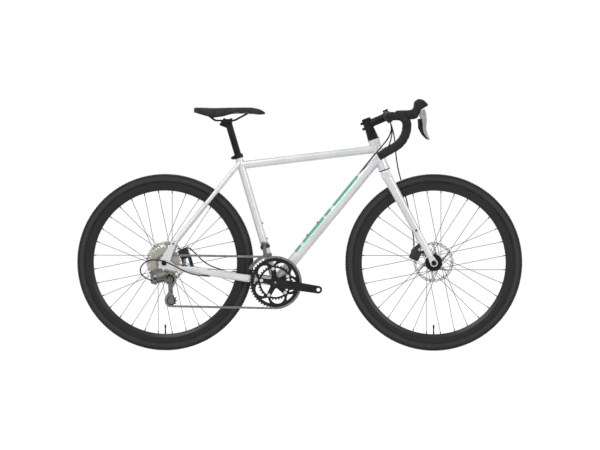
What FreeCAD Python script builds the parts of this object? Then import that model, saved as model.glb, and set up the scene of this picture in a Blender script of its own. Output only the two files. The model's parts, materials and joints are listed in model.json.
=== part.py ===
import FreeCAD, Part
import math
import os

# A drop-bar gravel bicycle, in millimetres and degrees.
# X runs forward, Y to the rider's left and Z up, from the ground at mid wheelbase.

V = FreeCAD.Vector
Y_AXIS = V(0, 1, 0)
RIGHT = -1
LEFT = 1

# Fits and gaps
RUNNING_FIT = 0.05
SEAT_GAP = 0.05
FREE_GAP = 0.4

# Wheels and tyres
BEAD_RADIUS = 311.0
TYRE_HEIGHT = 39.0
TYRE_WIDTH = 40.0
TYRE_WALL = 2.5
TUBE_WALL = 1.0
RIM_DEPTH = 27.0
RIM_WIDTH = 26.0
RIM_LIP = 7.0
RIM_WALL = 2.0
RIM_CROWN_WIDTH = 12.0
SPOKE_COUNT = 32
SPOKE_DIAMETER = 2.0
SPOKE_CROSSINGS = 3
NIPPLE_DIAMETER = 4.0
NIPPLE_LENGTH = 12.0
RIM_HOLE_STAGGER = 3.0
VALVE_DIAMETER = 6.0
VALVE_LENGTH = 37.0
FLANGE_RADIUS = 33.0
FLANGE_THICKNESS = 3.0
SPOKE_CIRCLE_RADIUS = 29.0
HUB_BARREL_RADIUS = 14.0
AXLE_DIAMETER = 12.0
AXLE_CAP_RADIUS = 10.0
AXLE_CAP_HEIGHT = 5.0
HUB_END_RADIUS = 9.5
FRONT_HUB_WIDTH = 100.0
REAR_HUB_WIDTH = 142.0
FRONT_FLANGE_LEFT = 22.0
FRONT_FLANGE_RIGHT = 35.0
REAR_FLANGE_LEFT = 33.0
REAR_FLANGE_RIGHT = 21.0

# Disc brakes, on the left
ROTOR_RADIUS = 80.0
ROTOR_TRACK = 13.0
ROTOR_THICKNESS = 1.8
ROTOR_ARMS = 6
ROTOR_WAVES = 12
ROTOR_BOLT_CIRCLE = 22.0
FRONT_ROTOR_INSET = 10.5
REAR_ROTOR_INSET = 15.3
ROTOR_SLOT = 4.0
CALIPER_RADIUS = 78.0
CALIPER_LENGTH = 42.0
CALIPER_HEIGHT = 40.0
CALIPER_INNER = 13.0
CALIPER_OUTER = 19.0
CALIPER_ARM_LENGTH = 30.0
CALIPER_ARM_THICKNESS = 5.0
CALIPER_PIVOT_RADIUS = 4.0
FRONT_CALIPER_ANGLE = 158.0
REAR_CALIPER_ANGLE = 24.0

# Frame layout
WHEELBASE = 1062.5
BB_DROP = 78.0
CHAINSTAY_LENGTH = 444.0
SEAT_ANGLE = 73.5
SEAT_TUBE_LENGTH = 527.0
HEAD_ANGLE = 70.0
HEAD_TUBE_LENGTH = 126.0
FORK_LENGTH = 412.0
FORK_RAKE = 58.0

# Frame tubes
SEAT_TUBE_RADIUS = 15.9
SEATPOST_RADIUS = 13.6
TOP_TUBE_RADIUS = 17.0
TOP_TUBE_REAR = 483.0
TOP_TUBE_FRONT = 88.0
DOWN_TUBE_RADIUS = 21.5
DOWN_TUBE_FRONT = 58.0
HEAD_TUBE_RADIUS = 21.0
HEAD_FLARE_RADIUS = 23.5
HEAD_FLARE_LENGTH = 26.0
HEAD_BORE_RADIUS = 17.5
TUBE_WALL_FRAME = 1.6
BB_SHELL_RADIUS = 21.0
BB_SHELL_WIDTH = 68.0
BB_BORE_RADIUS = 17.0
CHAINSTAY_HALF_WIDTH = 8.0
CHAINSTAY_FRONT_HALF_HEIGHT = 16.0
CHAINSTAY_REAR_HALF_HEIGHT = 11.0
SEATSTAY_RADIUS = 9.0
BRIDGE_RADIUS = 7.0
DROPOUT_THICKNESS = 8.0
DROPOUT_RADIUS = 20.0
EYELET_RADIUS = 2.5
COLLAR_HEIGHT = 16.0
COLLAR_WALL = 3.0
BOTTLE_BOLT_RADIUS = 4.0
BOTTLE_BOLT_HEIGHT = 3.0
BOTTLE_BOLT_SPACING = 64.0
SEAT_TUBE_BOTTLE = 175.0
DOWN_TUBE_BOTTLE = 224.0

# Headset and fork
STEERER_RADIUS = 14.3
HEADSET_HEIGHT = 4.0
HEADSET_INSERT = 9.0
CROWN_HEIGHT = 36.0
CROWN_HALF_DEPTH = 20.0
CROWN_HALF_WIDTH = 46.0
LEG_TOP_SIDE = 35.0
LEG_TOP_HALF_DEPTH = 19.0
LEG_TOP_HALF_WIDTH = 11.0
LEG_LOW_HALF_DEPTH = 12.5
LEG_LOW_HALF_WIDTH = 8.0
FORK_TIP_THICKNESS = 9.0
FORK_TIP_RADIUS = 15.0
FORK_EYELET_HEIGHT = 137.0

# Cockpit
SPACER_HEIGHT = 38.0
SPACER_BASE_RADIUS = 22.0
STEM_CLAMP_RADIUS = 18.5
STEM_CLAMP_HEIGHT = 42.0
STEM_LENGTH = 83.0
STEM_RISE = 3.5
STEM_ARM_RADIUS = 16.0
STEM_BAR_WIDTH = 44.0
STEM_BAR_WALL = 4.5
TOP_CAP_HEIGHT = 5.0
BAR_CLAMP_RADIUS = 15.9
BAR_RADIUS = 11.9
BAR_WALL = 2.0
BAR_HALF_WIDTH = 205.0
BAR_BULGE = 38.0
BAR_TAPER = 24.0
BAR_REACH = 77.0
BAR_FLARE = 9.0
BAR_DROP = 95.0
BAR_END_BACK = 109.0
BAR_END_DROP = 61.0
BAR_TOP_BEND = 38.0
BAR_FRONT_BEND = 34.0
BAR_DROP_BEND = 98.0
TAPE_RADIUS = 17.0
TAPE_START = 68.0
PLUG_LENGTH = 15.0
PLUG_HEIGHT = 4.0

# Brake and shift levers
LEVER_PIVOT_AHEAD = 125.0
LEVER_PIVOT_RISE = 13.5
LEVER_PIN_RADIUS = 2.5
LEVER_LUG_RADIUS = 8.0
LEVER_POCKET_RADIUS = 15.5
LEVER_HALF_WIDTH = 5.5
PADDLE_HALF_WIDTH = 4.0
PADDLE_PIN_RADIUS = 1.8
PADDLE_LUG_RADIUS = 4.2

# Seat
SEATPOST_INSERTION = 130.0
SEATPOST_WALL = 2.2
RAIL_RADIUS = 3.5
RAIL_SIDE = 22.0
SEATPOST_EXTENSION = 139.4
SADDLE_SETBACK = 132.6
SADDLE_LENGTH = 280.0
SADDLE_WIDTH = 145.0
SADDLE_STACK = 52.0
SADDLE_SHELL = 3.0

# Drivetrain
CHAIN_PITCH = 12.7
ROLLER_RADIUS = 3.8
LINK_INNER_HALF = 1.4
LINK_PLATE = 1.0
LINK_PIN_RADIUS = 1.8
LINK_END_RADIUS = 4.1
OUTER_RING_TEETH = 50
INNER_RING_TEETH = 34
OUTER_RING_LINE = 49.0
RING_SPACING = 7.5
RING_THICKNESS = 1.8
RING_BOLT_CIRCLE = 55.0
RING_BOLT_RADIUS = 4.5
SPIDER_ARMS = 5
SPINDLE_RADIUS = 10.0
CRANK_LENGTH = 172.5
CRANK_ANGLE = -9.0
CRANK_INNER = 60.0
CRANK_THICKNESS = 13.0
CRANK_BOSS_RADIUS = 20.0
CRANK_EYE_RADIUS = 15.0
PEDAL_HOLE_RADIUS = 7.14
COG_TEETH = (11, 13, 15, 18, 21, 24, 28, 32)
CHAIN_COG = 15
COG_PITCH = 4.8
COG_THICKNESS = 1.8
SMALL_COG_INSET = 6.5
FREEHUB_RADIUS = 17.0
JOCKEY_TEETH = 11
JOCKEY_THICKNESS = 2.1
JOCKEY_BOLT_RADIUS = 2.5
UPPER_JOCKEY = V(22.0, 0, -65.0)
LOWER_JOCKEY = V(26.5, 0, -149.0)
B_BOLT = V(-14.0, 0, -30.0)
RD_LINK_START = V(-33.0, 0, -66.0)
RD_LINK_LENGTH = 40.0
RD_SLANT = 52.0
RD_REST_TURN = -15.0
FD_CAGE_INNER_RADIUS = 105.5
FD_CAGE_OUTER_RADIUS = 119.0
FD_CAGE_FRONT = 97.0
FD_CAGE_REAR = 152.0
FD_CAGE_GAP = 9.2
FD_PLATE = 1.2
FD_CLAMP_HEIGHT = 146.0

# Cables
HOUSING_RADIUS = 2.5


# Basic shapes


def turned(angle):
    """Unit vector in the XZ plane, at an angle above +X."""
    return V(math.cos(math.radians(angle)), 0, math.sin(math.radians(angle)))


def at_side(point, y):
    """The same point moved to a given Y."""
    return V(point.x, y, point.z)


def rod(start, end, radius):
    axis = end - start
    return Part.makeCylinder(radius, axis.Length, start, axis)


def across(point, radius, y_from, y_to):
    """Cylinder along Y through a point, between two side distances."""
    return rod(at_side(point, y_from), at_side(point, y_to), radius)


def ring_across(point, outer, inner, y_from, y_to):
    return across(point, outer, y_from, y_to).cut(across(point, inner, y_from, y_to))


def box_across(x_from, x_to, y_from, y_to, z_from, z_to):
    corner = V(min(x_from, x_to), min(y_from, y_to), min(z_from, z_to))
    return Part.makeBox(abs(x_to - x_from), abs(y_to - y_from), abs(z_to - z_from), corner)


def joined(shapes):
    """One solid from pieces that overlap."""
    first, *rest = shapes
    return first.fuse(rest).removeSplitter() if rest else first


def group(shapes):
    return Part.makeCompound(list(shapes))


def taper_plate(a, radius_a, b, radius_b, y_from, y_to):
    """Plate across Y, round two circles and the tangents that join them."""
    low = min(y_from, y_to)
    start = at_side(a, low)
    end = at_side(b, low)
    along = end - start
    lean = math.acos((radius_a - radius_b) / along.Length)
    along.normalize()
    sideways = Y_AXIS.cross(along)
    upper = along * math.cos(lean) + sideways * math.sin(lean)
    lower = along * math.cos(lean) - sideways * math.sin(lean)
    edges = [
        Part.LineSegment(start + upper * radius_a, end + upper * radius_b),
        Part.Arc(end + upper * radius_b, end + along * radius_b, end + lower * radius_b),
        Part.LineSegment(end + lower * radius_b, start + lower * radius_a),
        Part.Arc(start + lower * radius_a, start - along * radius_a, start + upper * radius_a),
    ]
    face = Part.Face(Part.Wire([edge.toShape() for edge in edges]))
    return face.extrude(Y_AXIS * abs(y_to - y_from))


def plate(points, y_from, y_to):
    """Plate across Y from the corners of its outline."""
    low = min(y_from, y_to)
    corners = [at_side(point, low) for point in points]
    face = Part.Face(Part.makePolygon(corners + corners[:1]))
    return face.extrude(Y_AXIS * abs(y_to - y_from))


def oval(centre, tall, wide):
    """Closed oval of four arcs with two half axes."""
    quarter = [tall, wide, tall * -1, wide * -1, tall]
    share = math.sqrt(0.5)
    edges = []
    for start, end in zip(quarter, quarter[1:]):
        middle = (start + end) * share
        edges.append(Part.Arc(centre + start, centre + middle, centre + end).toShape())
    return Part.Wire(edges)


def rounded_path(points, radii=None):
    """Straight runs joined by tangent arcs, each as large as its runs allow unless given."""
    edges = []
    start = points[0]
    for index in range(1, len(points) - 1):
        corner = points[index]
        back = points[index - 1] - corner
        ahead = points[index + 1] - corner
        shorter = min(back.Length, ahead.Length)
        back.normalize()
        ahead.normalize()
        half = back.getAngle(ahead) / 2
        radius = radii[index - 1] if radii else 0.45 * shorter * math.tan(half)
        reach = radius / math.tan(half)
        inward = back + ahead
        inward.normalize()
        middle = corner + inward * (radius / math.sin(half) - radius)
        edges.append(Part.LineSegment(start, corner + back * reach).toShape())
        start = corner + ahead * reach
        edges.append(Part.Arc(corner + back * reach, middle, start).toShape())
    edges.append(Part.LineSegment(start, points[-1]).toShape())
    return Part.Wire(edges)


def pipe(points, radius, radii=None):
    """Round bar along a rounded path."""
    circle = Part.Wire(Part.Circle(points[0], points[1] - points[0], radius).toShape())
    return rounded_path(points, radii).makePipeShell([circle], True, False)


# Layout


AXLE_HEIGHT = BEAD_RADIUS + TYRE_HEIGHT
REAR_AXLE = V(-WHEELBASE / 2, 0, AXLE_HEIGHT)
FRONT_AXLE = V(WHEELBASE / 2, 0, AXLE_HEIGHT)
BB = V(REAR_AXLE.x + math.sqrt(CHAINSTAY_LENGTH ** 2 - BB_DROP ** 2), 0, AXLE_HEIGHT - BB_DROP)
SEAT_UP = turned(180 - SEAT_ANGLE)
SEAT_AHEAD = turned(90 - SEAT_ANGLE)
STEER_UP = turned(180 - HEAD_ANGLE)
STEER_AHEAD = turned(90 - HEAD_ANGLE)
STEER_FOOT = FRONT_AXLE - STEER_AHEAD * FORK_RAKE
HEAD_TOP = FORK_LENGTH + HEAD_TUBE_LENGTH
STEM_HEIGHT = HEAD_TOP + HEADSET_HEIGHT + SPACER_HEIGHT
STEM_AHEAD = turned(90 - HEAD_ANGLE + STEM_RISE)


def seat_point(height, ahead=0):
    return BB + SEAT_UP * height + SEAT_AHEAD * ahead


def steer_point(height, ahead=0):
    return STEER_FOOT + STEER_UP * height + STEER_AHEAD * ahead


BAR = steer_point(STEM_HEIGHT + STEM_CLAMP_HEIGHT / 2) + STEM_AHEAD * STEM_LENGTH
DROPOUT_SIDE = (REAR_HUB_WIDTH + DROPOUT_THICKNESS) / 2
DROPOUT_OUTER = REAR_HUB_WIDTH / 2 + DROPOUT_THICKNESS
FORK_TIP_OUTER = FRONT_HUB_WIDTH / 2 + FORK_TIP_THICKNESS


# Frame


TYRE_CLEARANCE = 8.0
SEATSTAY_FOOT = REAR_AXLE + V(37.0, 0, 76.0)
SEATSTAY_FOOT_RADIUS = 9.5
SEATSTAY_KNEE = 0.68
SEATSTAY_HEAD_SIDE = 11.0
CHAINSTAY_FOOT = REAR_AXLE + V(43.0, 0, -20.0)
CHAINSTAY_FOOT_RADIUS = 11.5
CHAINSTAY_HEAD_SIDE = 22.0
HANGER_RADIUS = 9.0


def head_tube():
    low = steer_point(FORK_LENGTH)
    high = steer_point(HEAD_TOP)
    body = rod(low, high, HEAD_TUBE_RADIUS)
    low_flare = Part.makeCone(HEAD_FLARE_RADIUS, HEAD_TUBE_RADIUS, HEAD_FLARE_LENGTH, low, STEER_UP)
    high_flare = Part.makeCone(HEAD_FLARE_RADIUS, HEAD_TUBE_RADIUS, HEAD_FLARE_LENGTH, high, STEER_UP * -1)
    return joined([body, low_flare, high_flare])


def bottom_bracket_shell():
    return across(BB, BB_SHELL_RADIUS, -BB_SHELL_WIDTH / 2, BB_SHELL_WIDTH / 2)


def seat_tube_outside():
    return rod(BB, seat_point(SEAT_TUBE_LENGTH), SEAT_TUBE_RADIUS)


def top_tube_outside(inset=0):
    head = steer_point(FORK_LENGTH + TOP_TUBE_FRONT)
    return rod(seat_point(TOP_TUBE_REAR), head, TOP_TUBE_RADIUS - inset)


def down_tube_outside(inset=0):
    head = steer_point(FORK_LENGTH + DOWN_TUBE_FRONT)
    run = head - BB
    run.normalize()
    return rod(BB + run * BB_SHELL_RADIUS / 2, head, DOWN_TUBE_RADIUS - inset)


def seatstay_points(side):
    """Route of one seatstay from above its foot, past the tyre, to the seat tube."""
    foot = at_side(SEATSTAY_FOOT, side * DROPOUT_SIDE)
    head = seat_point(SEAT_TUBE_LENGTH - COLLAR_HEIGHT - TOP_TUBE_RADIUS)
    head = at_side(head, side * SEATSTAY_HEAD_SIDE)
    knee = foot + (head - foot) * SEATSTAY_KNEE
    knee.y = side * (TYRE_WIDTH / 2 + TYRE_CLEARANCE + SEATSTAY_RADIUS)
    first = knee - foot
    first.normalize()
    return [foot + first * (SEATSTAY_FOOT_RADIUS + EYELET_RADIUS), knee, head]


SEATSTAY_BEND = 160.0


def seatstay(side):
    points = seatstay_points(side)
    outside = pipe(points, SEATSTAY_RADIUS, [SEATSTAY_BEND])
    return outside.cut(pipe(points, SEATSTAY_RADIUS - TUBE_WALL_FRAME, [SEATSTAY_BEND]))


def chainstay_centre(part, side):
    """Centre of one chainstay at a share of its length from the bottom bracket."""
    bend = 0.27
    tyre_side = TYRE_WIDTH / 2 + TYRE_CLEARANCE + CHAINSTAY_HALF_WIDTH
    if part < bend:
        y = CHAINSTAY_HEAD_SIDE + (tyre_side - CHAINSTAY_HEAD_SIDE) * part / bend
    else:
        y = tyre_side + (DROPOUT_SIDE - tyre_side) * (part - bend) / (1 - bend)
    return at_side(BB + (CHAINSTAY_FOOT - BB) * part, side * y)


def chainstay_body(side, inset=0):
    run = CHAINSTAY_FOOT - BB
    run.normalize()
    tall = Y_AXIS.cross(run)
    sections = []
    for part in (0.02, 0.15, 0.27, 0.45, 0.7, 1.0):
        shrink = CHAINSTAY_FRONT_HALF_HEIGHT - CHAINSTAY_REAR_HALF_HEIGHT
        height = CHAINSTAY_FRONT_HALF_HEIGHT - shrink * part - inset
        centre = chainstay_centre(part, side)
        sections.append(oval(centre, tall * height, Y_AXIS * (CHAINSTAY_HALF_WIDTH - inset)))
    return Part.makeLoft(sections, True, False)


def rear_dropout(side):
    inner = side * REAR_HUB_WIDTH / 2
    outer = side * DROPOUT_OUTER
    stay = seatstay_points(side)
    rise = SEATSTAY_FOOT + (stay[1] - stay[0]) * (3 * SEATSTAY_FOOT_RADIUS / (stay[1] - stay[0]).Length)
    pieces = [
        taper_plate(REAR_AXLE, DROPOUT_RADIUS, SEATSTAY_FOOT, SEATSTAY_FOOT_RADIUS, inner, outer),
        taper_plate(REAR_AXLE, DROPOUT_RADIUS, CHAINSTAY_FOOT, CHAINSTAY_FOOT_RADIUS, inner, outer),
        taper_plate(SEATSTAY_FOOT, SEATSTAY_FOOT_RADIUS, rise, SEATSTAY_RADIUS - 2 * TUBE_WALL_FRAME,
                    inner, outer),
    ]
    holes = [
        across(REAR_AXLE, AXLE_DIAMETER / 2 + SEAT_GAP, inner, outer),
        across(SEATSTAY_FOOT, EYELET_RADIUS, inner, outer),
    ]
    if side == RIGHT:
        hanger = REAR_AXLE + B_BOLT
        pieces.append(taper_plate(REAR_AXLE, DROPOUT_RADIUS, hanger, HANGER_RADIUS, inner, outer))
        holes.append(across(hanger, B_BOLT_RADIUS + SEAT_GAP, inner, outer))
    return joined(pieces).cut(holes)


B_BOLT_RADIUS = 4.0
SEATSTAY_BRIDGE = 0.76
CHAINSTAY_BRIDGE = 0.14


def frame_tubes():
    """All the welded tubes, each cut to meet its neighbours."""
    shell = bottom_bracket_shell()
    head = head_tube()
    seat = seat_tube_outside()
    top = top_tube_outside()
    seat_bore = rod(BB, seat_point(SEAT_TUBE_LENGTH), SEATPOST_RADIUS + RUNNING_FIT)
    shell_bore = across(BB, BB_BORE_RADIUS, -BB_SHELL_WIDTH / 2, BB_SHELL_WIDTH / 2)
    head_bore = rod(steer_point(FORK_LENGTH), steer_point(HEAD_TOP), HEAD_BORE_RADIUS)
    dropouts = [rear_dropout(RIGHT), rear_dropout(LEFT)]
    chainstays = []
    seatstays = []
    for side in (RIGHT, LEFT):
        chainstay = chainstay_body(side).cut(chainstay_body(side, TUBE_WALL_FRAME))
        chainstays.append(largest(chainstay.cut([shell, seat] + dropouts)))
        seatstays.append(largest(seatstay(side).cut([seat, top] + dropouts)))
    low_bridge = at_side(BB + (CHAINSTAY_FOOT - BB) * CHAINSTAY_BRIDGE, 0)
    stay = seatstay_points(RIGHT)
    high_bridge = at_side(stay[1] + (stay[2] - stay[1]) * (SEATSTAY_BRIDGE - SEATSTAY_KNEE), 0)
    low_solids = [chainstay_body(RIGHT), chainstay_body(LEFT), shell]
    high_solids = [pipe(seatstay_points(side), SEATSTAY_RADIUS, [SEATSTAY_BEND]) for side in (RIGHT, LEFT)]
    bridges = [
        largest(across(low_bridge, BRIDGE_RADIUS, -CHAINSTAY_HEAD_SIDE,
                       CHAINSTAY_HEAD_SIDE).cut(low_solids)),
        largest(across(high_bridge, BRIDGE_RADIUS, -TYRE_WIDTH, TYRE_WIDTH).cut(high_solids)),
    ]
    return {
        "head_tube": head.cut(head_bore),
        "top_tube": largest(top.cut([top_tube_outside(TUBE_WALL_FRAME), head, seat])),
        "down_tube": largest(down_tube_outside().cut([down_tube_outside(TUBE_WALL_FRAME),
                                                      head, top, seat, shell])),
        "seat_tube": largest(seat.cut([seat_bore, shell])),
        "bottom_bracket_shell": shell.cut(shell_bore),
        "rear_stays": group(chainstays + seatstays + bridges),
        "rear_dropouts": group(dropouts),
    }


def largest(shape):
    """The main solid of a cut, without the slugs left inside a tube."""
    return max(shape.Solids, key=lambda solid: solid.Volume)


def frame_bearings():
    """Headset bearings at both ends of the head tube and the two bottom bracket cups."""
    pieces = []
    for end, outward in ((FORK_LENGTH, -1), (HEAD_TOP, 1)):
        face = steer_point(end)
        collar = steer_point(end + outward * (HEADSET_HEIGHT - FREE_GAP))
        insert = steer_point(end - outward * HEADSET_INSERT)
        outside = joined([
            rod(face, collar, HEAD_FLARE_RADIUS),
            rod(insert, face, HEAD_BORE_RADIUS - SEAT_GAP),
        ])
        pieces.append(outside.cut(rod(insert, collar, STEERER_RADIUS + RUNNING_FIT)))
    for side in (RIGHT, LEFT):
        face = side * BB_SHELL_WIDTH / 2
        flange = side * (BB_SHELL_WIDTH / 2 + 5)
        insert = side * (BB_SHELL_WIDTH / 2 - 12)
        outside = joined([
            across(BB, BB_SHELL_RADIUS - 0.5, face, flange),
            across(BB, BB_BORE_RADIUS - SEAT_GAP, insert, face),
        ])
        pieces.append(outside.cut(across(BB, SPINDLE_RADIUS + RUNNING_FIT, insert, flange)))
    return group(pieces)


COLLAR_BOLT_BACK = 23.0
COLLAR_LUG_RADIUS = 6.5
COLLAR_LUG_SIDE = 9.0
COLLAR_SLOT = 1.6
COLLAR_BOLT_RADIUS = 2.5


def collar_bolt_point():
    return seat_point(SEAT_TUBE_LENGTH - COLLAR_HEIGHT / 2, -COLLAR_BOLT_BACK)


def seat_clamp():
    low = seat_point(SEAT_TUBE_LENGTH - COLLAR_HEIGHT)
    high = seat_point(SEAT_TUBE_LENGTH)
    outside = SEAT_TUBE_RADIUS + SEAT_GAP + COLLAR_WALL
    bolt = collar_bolt_point()
    middle = seat_point(SEAT_TUBE_LENGTH - COLLAR_HEIGHT / 2)
    lug = taper_plate(bolt, COLLAR_LUG_RADIUS, middle, COLLAR_LUG_RADIUS, -COLLAR_LUG_SIDE, COLLAR_LUG_SIDE)
    back = [seat_point(SEAT_TUBE_LENGTH - COLLAR_HEIGHT, -2 * COLLAR_BOLT_BACK), low, high]
    back.append(seat_point(SEAT_TUBE_LENGTH, -2 * COLLAR_BOLT_BACK))
    cuts = [
        rod(low, high, SEAT_TUBE_RADIUS + SEAT_GAP),
        plate(back, -COLLAR_SLOT / 2, COLLAR_SLOT / 2),
        across(bolt, COLLAR_BOLT_RADIUS + SEAT_GAP, -COLLAR_LUG_SIDE, COLLAR_LUG_SIDE),
    ]
    return joined([rod(low, high, outside), lug]).cut(cuts)


def frame_bolts():
    """Bottle cage bolts on both tubes and the seat clamp bolt."""
    bolts = []
    down = steer_point(FORK_LENGTH + DOWN_TUBE_FRONT) - BB
    down.normalize()
    down_out = down.cross(Y_AXIS)
    for step in (0, BOTTLE_BOLT_SPACING):
        foot = seat_point(SEAT_TUBE_BOTTLE + step)
        head = foot + SEAT_AHEAD * (SEAT_TUBE_RADIUS + BOTTLE_BOLT_HEIGHT)
        bolts.append(rod(foot, head, BOTTLE_BOLT_RADIUS).cut(seat_tube_outside()))
        foot = BB + down * (DOWN_TUBE_BOTTLE + step)
        head = foot + down_out * (DOWN_TUBE_RADIUS + BOTTLE_BOLT_HEIGHT)
        bolts.append(rod(foot, head, BOTTLE_BOLT_RADIUS).cut(down_tube_outside()))
    bolt = collar_bolt_point()
    end = COLLAR_LUG_SIDE + BOTTLE_BOLT_HEIGHT
    bolts.append(joined([
        across(bolt, COLLAR_BOLT_RADIUS, -COLLAR_LUG_SIDE, COLLAR_LUG_SIDE),
        across(bolt, BOTTLE_BOLT_RADIUS, -end, -COLLAR_LUG_SIDE),
        across(bolt, BOTTLE_BOLT_RADIUS, COLLAR_LUG_SIDE, end),
    ]))
    return group(bolts)


def thru_axle(axle, outer):
    """Through axle with a cap outside each dropout."""
    end = outer + AXLE_CAP_HEIGHT
    return joined([
        across(axle, AXLE_DIAMETER / 2, -end, end),
        across(axle, AXLE_CAP_RADIUS, -end, -outer),
        across(axle, AXLE_CAP_RADIUS, outer, end),
    ])


# Fork


CROWN_TOP = FORK_LENGTH - HEADSET_HEIGHT
CROWN_ROUNDING = 8.0
LEG_WALL = 2.0
LEG_FOOT_RISE = 30.0
STEER_TOP = STEM_HEIGHT + STEM_CLAMP_HEIGHT
LEG_HEAD = steer_point(CROWN_TOP - CROWN_HEIGHT / 2)
LEG_RUN = LEG_HEAD - FRONT_AXLE
LEG_RUN.normalize()
LEG_LOW_SIDE = (FRONT_HUB_WIDTH + FORK_TIP_THICKNESS) / 2


def crown_block():
    corners = [
        steer_point(CROWN_TOP - CROWN_HEIGHT, -CROWN_HALF_DEPTH),
        steer_point(CROWN_TOP - CROWN_HEIGHT, CROWN_HALF_DEPTH),
        steer_point(CROWN_TOP, CROWN_HALF_DEPTH),
        steer_point(CROWN_TOP, -CROWN_HALF_DEPTH),
    ]
    block = plate(corners, -CROWN_HALF_WIDTH, CROWN_HALF_WIDTH)
    return block.makeFillet(CROWN_ROUNDING, block.Edges)


def fork_crown():
    """Crown with the steerer tube that runs up through the headset to the stem."""
    steerer = rod(steer_point(CROWN_TOP - CROWN_HEIGHT / 2), steer_point(STEER_TOP), STEERER_RADIUS)
    bore = rod(steer_point(CROWN_TOP), steer_point(STEER_TOP), STEERER_RADIUS - LEG_WALL)
    return joined([crown_block(), steerer]).cut(bore)


def leg_centre(part, side):
    """Centre of a fork leg at a share of the way from its head to its foot."""
    foot = FRONT_AXLE + LEG_RUN * LEG_FOOT_RISE
    y = LEG_TOP_SIDE + (LEG_LOW_SIDE - LEG_TOP_SIDE) * part
    return at_side(LEG_HEAD + (foot - LEG_HEAD) * part, side * y)


def leg_body(side, inset=0):
    tall = Y_AXIS.cross(LEG_RUN)
    sections = []
    for part in (0.0, 0.5, 1.0):
        depth = LEG_TOP_HALF_DEPTH + (LEG_LOW_HALF_DEPTH - LEG_TOP_HALF_DEPTH) * part - inset
        width = LEG_TOP_HALF_WIDTH + (LEG_LOW_HALF_WIDTH - LEG_TOP_HALF_WIDTH) * part - inset
        sections.append(oval(leg_centre(part, side), tall * depth, Y_AXIS * width))
    return Part.makeLoft(sections, True, False)


def leg_eyelet_point(side):
    """Open threaded eyelet on the outer face of a fork leg."""
    share = 1 - (FORK_EYELET_HEIGHT - LEG_FOOT_RISE * LEG_RUN.z) / (LEG_HEAD.z - FRONT_AXLE.z)
    return leg_centre(share, side) + V(0, side * (LEG_TOP_HALF_WIDTH + EYELET_RADIUS), 0)


def fork_leg(side):
    inner = side * FRONT_HUB_WIDTH / 2
    outer = side * FORK_TIP_OUTER
    foot = FRONT_AXLE + LEG_RUN * (LEG_FOOT_RISE + FORK_TIP_RADIUS)
    tip = taper_plate(FRONT_AXLE, FORK_TIP_RADIUS, foot, LEG_LOW_HALF_WIDTH, inner, outer)
    tip = tip.cut(across(FRONT_AXLE, AXLE_DIAMETER / 2 + SEAT_GAP, inner, outer))
    eyelet = leg_eyelet_point(side)
    root = at_side(eyelet, eyelet.y - side * 2 * LEG_TOP_HALF_WIDTH)
    leg = leg_body(side).cut(leg_body(side, LEG_WALL))
    leg = joined([leg, rod(root, eyelet, 2 * EYELET_RADIUS)]).cut(rod(root, eyelet, EYELET_RADIUS))
    return joined([largest(leg.cut(crown_block())), tip])


def fork_legs():
    return group([fork_leg(RIGHT), fork_leg(LEFT)])


# Stem and handlebar


STEM_UP = STEM_AHEAD.cross(Y_AXIS) * -1
STEM_SPLIT = 1.2
STEM_EAR_INNER = 15.0
STEM_EAR_OUTER = 27.0
STEM_EAR_DEPTH = 9.0
STEM_BOLT_RISE = 23.5
STEM_BOLT_SIDE = 14.0
BOLT_RADIUS = 2.5
BOLT_HEAD_RADIUS = 4.2
BOLT_HEAD_HEIGHT = 3.0
PINCH_BACK = 23.0
PINCH_LUG_RADIUS = 5.5
PINCH_LUG_SIDE = 8.0
PINCH_INSET = 10.0


def headset_spacers():
    """Conical spacer under the stem and the cap on top of it."""
    base = steer_point(HEAD_TOP + HEADSET_HEIGHT)
    cone = Part.makeCone(SPACER_BASE_RADIUS, STEM_CLAMP_RADIUS, SPACER_HEIGHT, base, STEER_UP)
    cone = cone.cut(rod(base, steer_point(STEM_HEIGHT), STEERER_RADIUS + SEAT_GAP))
    cap = rod(steer_point(STEER_TOP), steer_point(STEER_TOP + TOP_CAP_HEIGHT), STEM_CLAMP_RADIUS - 1)
    return group([cone, cap])


def pinch_bolt_points():
    heights = (STEM_HEIGHT + PINCH_INSET, STEER_TOP - PINCH_INSET)
    return [steer_point(height, -PINCH_BACK) for height in heights]


def bar_offset(ahead, rise):
    return BAR + STEM_AHEAD * ahead + STEM_UP * rise


def face_bolts():
    """Axes of the four bolts that hold the faceplate, as start and end points."""
    axes = []
    for rise in (-STEM_BOLT_RISE, STEM_BOLT_RISE):
        for side in (RIGHT, LEFT):
            start = at_side(bar_offset(-STEM_EAR_DEPTH, rise), side * STEM_BOLT_SIDE)
            axes.append((start, at_side(bar_offset(STEM_EAR_DEPTH, rise), side * STEM_BOLT_SIDE)))
    return axes


def bar_clamp_block():
    half = STEM_BAR_WIDTH / 2
    pieces = [across(BAR, BAR_CLAMP_RADIUS + STEM_BAR_WALL, -half, half)]
    for sign in (-1, 1):
        corners = [
            bar_offset(-STEM_EAR_DEPTH, sign * STEM_EAR_INNER),
            bar_offset(STEM_EAR_DEPTH, sign * STEM_EAR_INNER),
            bar_offset(STEM_EAR_DEPTH, sign * STEM_EAR_OUTER),
            bar_offset(-STEM_EAR_DEPTH, sign * STEM_EAR_OUTER),
        ]
        pieces.append(plate(corners, -half + BOLT_HEAD_HEIGHT, half - BOLT_HEAD_HEIGHT))
    holes = [rod(start, end, BOLT_RADIUS + SEAT_GAP) for start, end in face_bolts()]
    holes.append(across(BAR, BAR_CLAMP_RADIUS + SEAT_GAP, -half, half))
    return joined(pieces).cut(holes)


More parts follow.
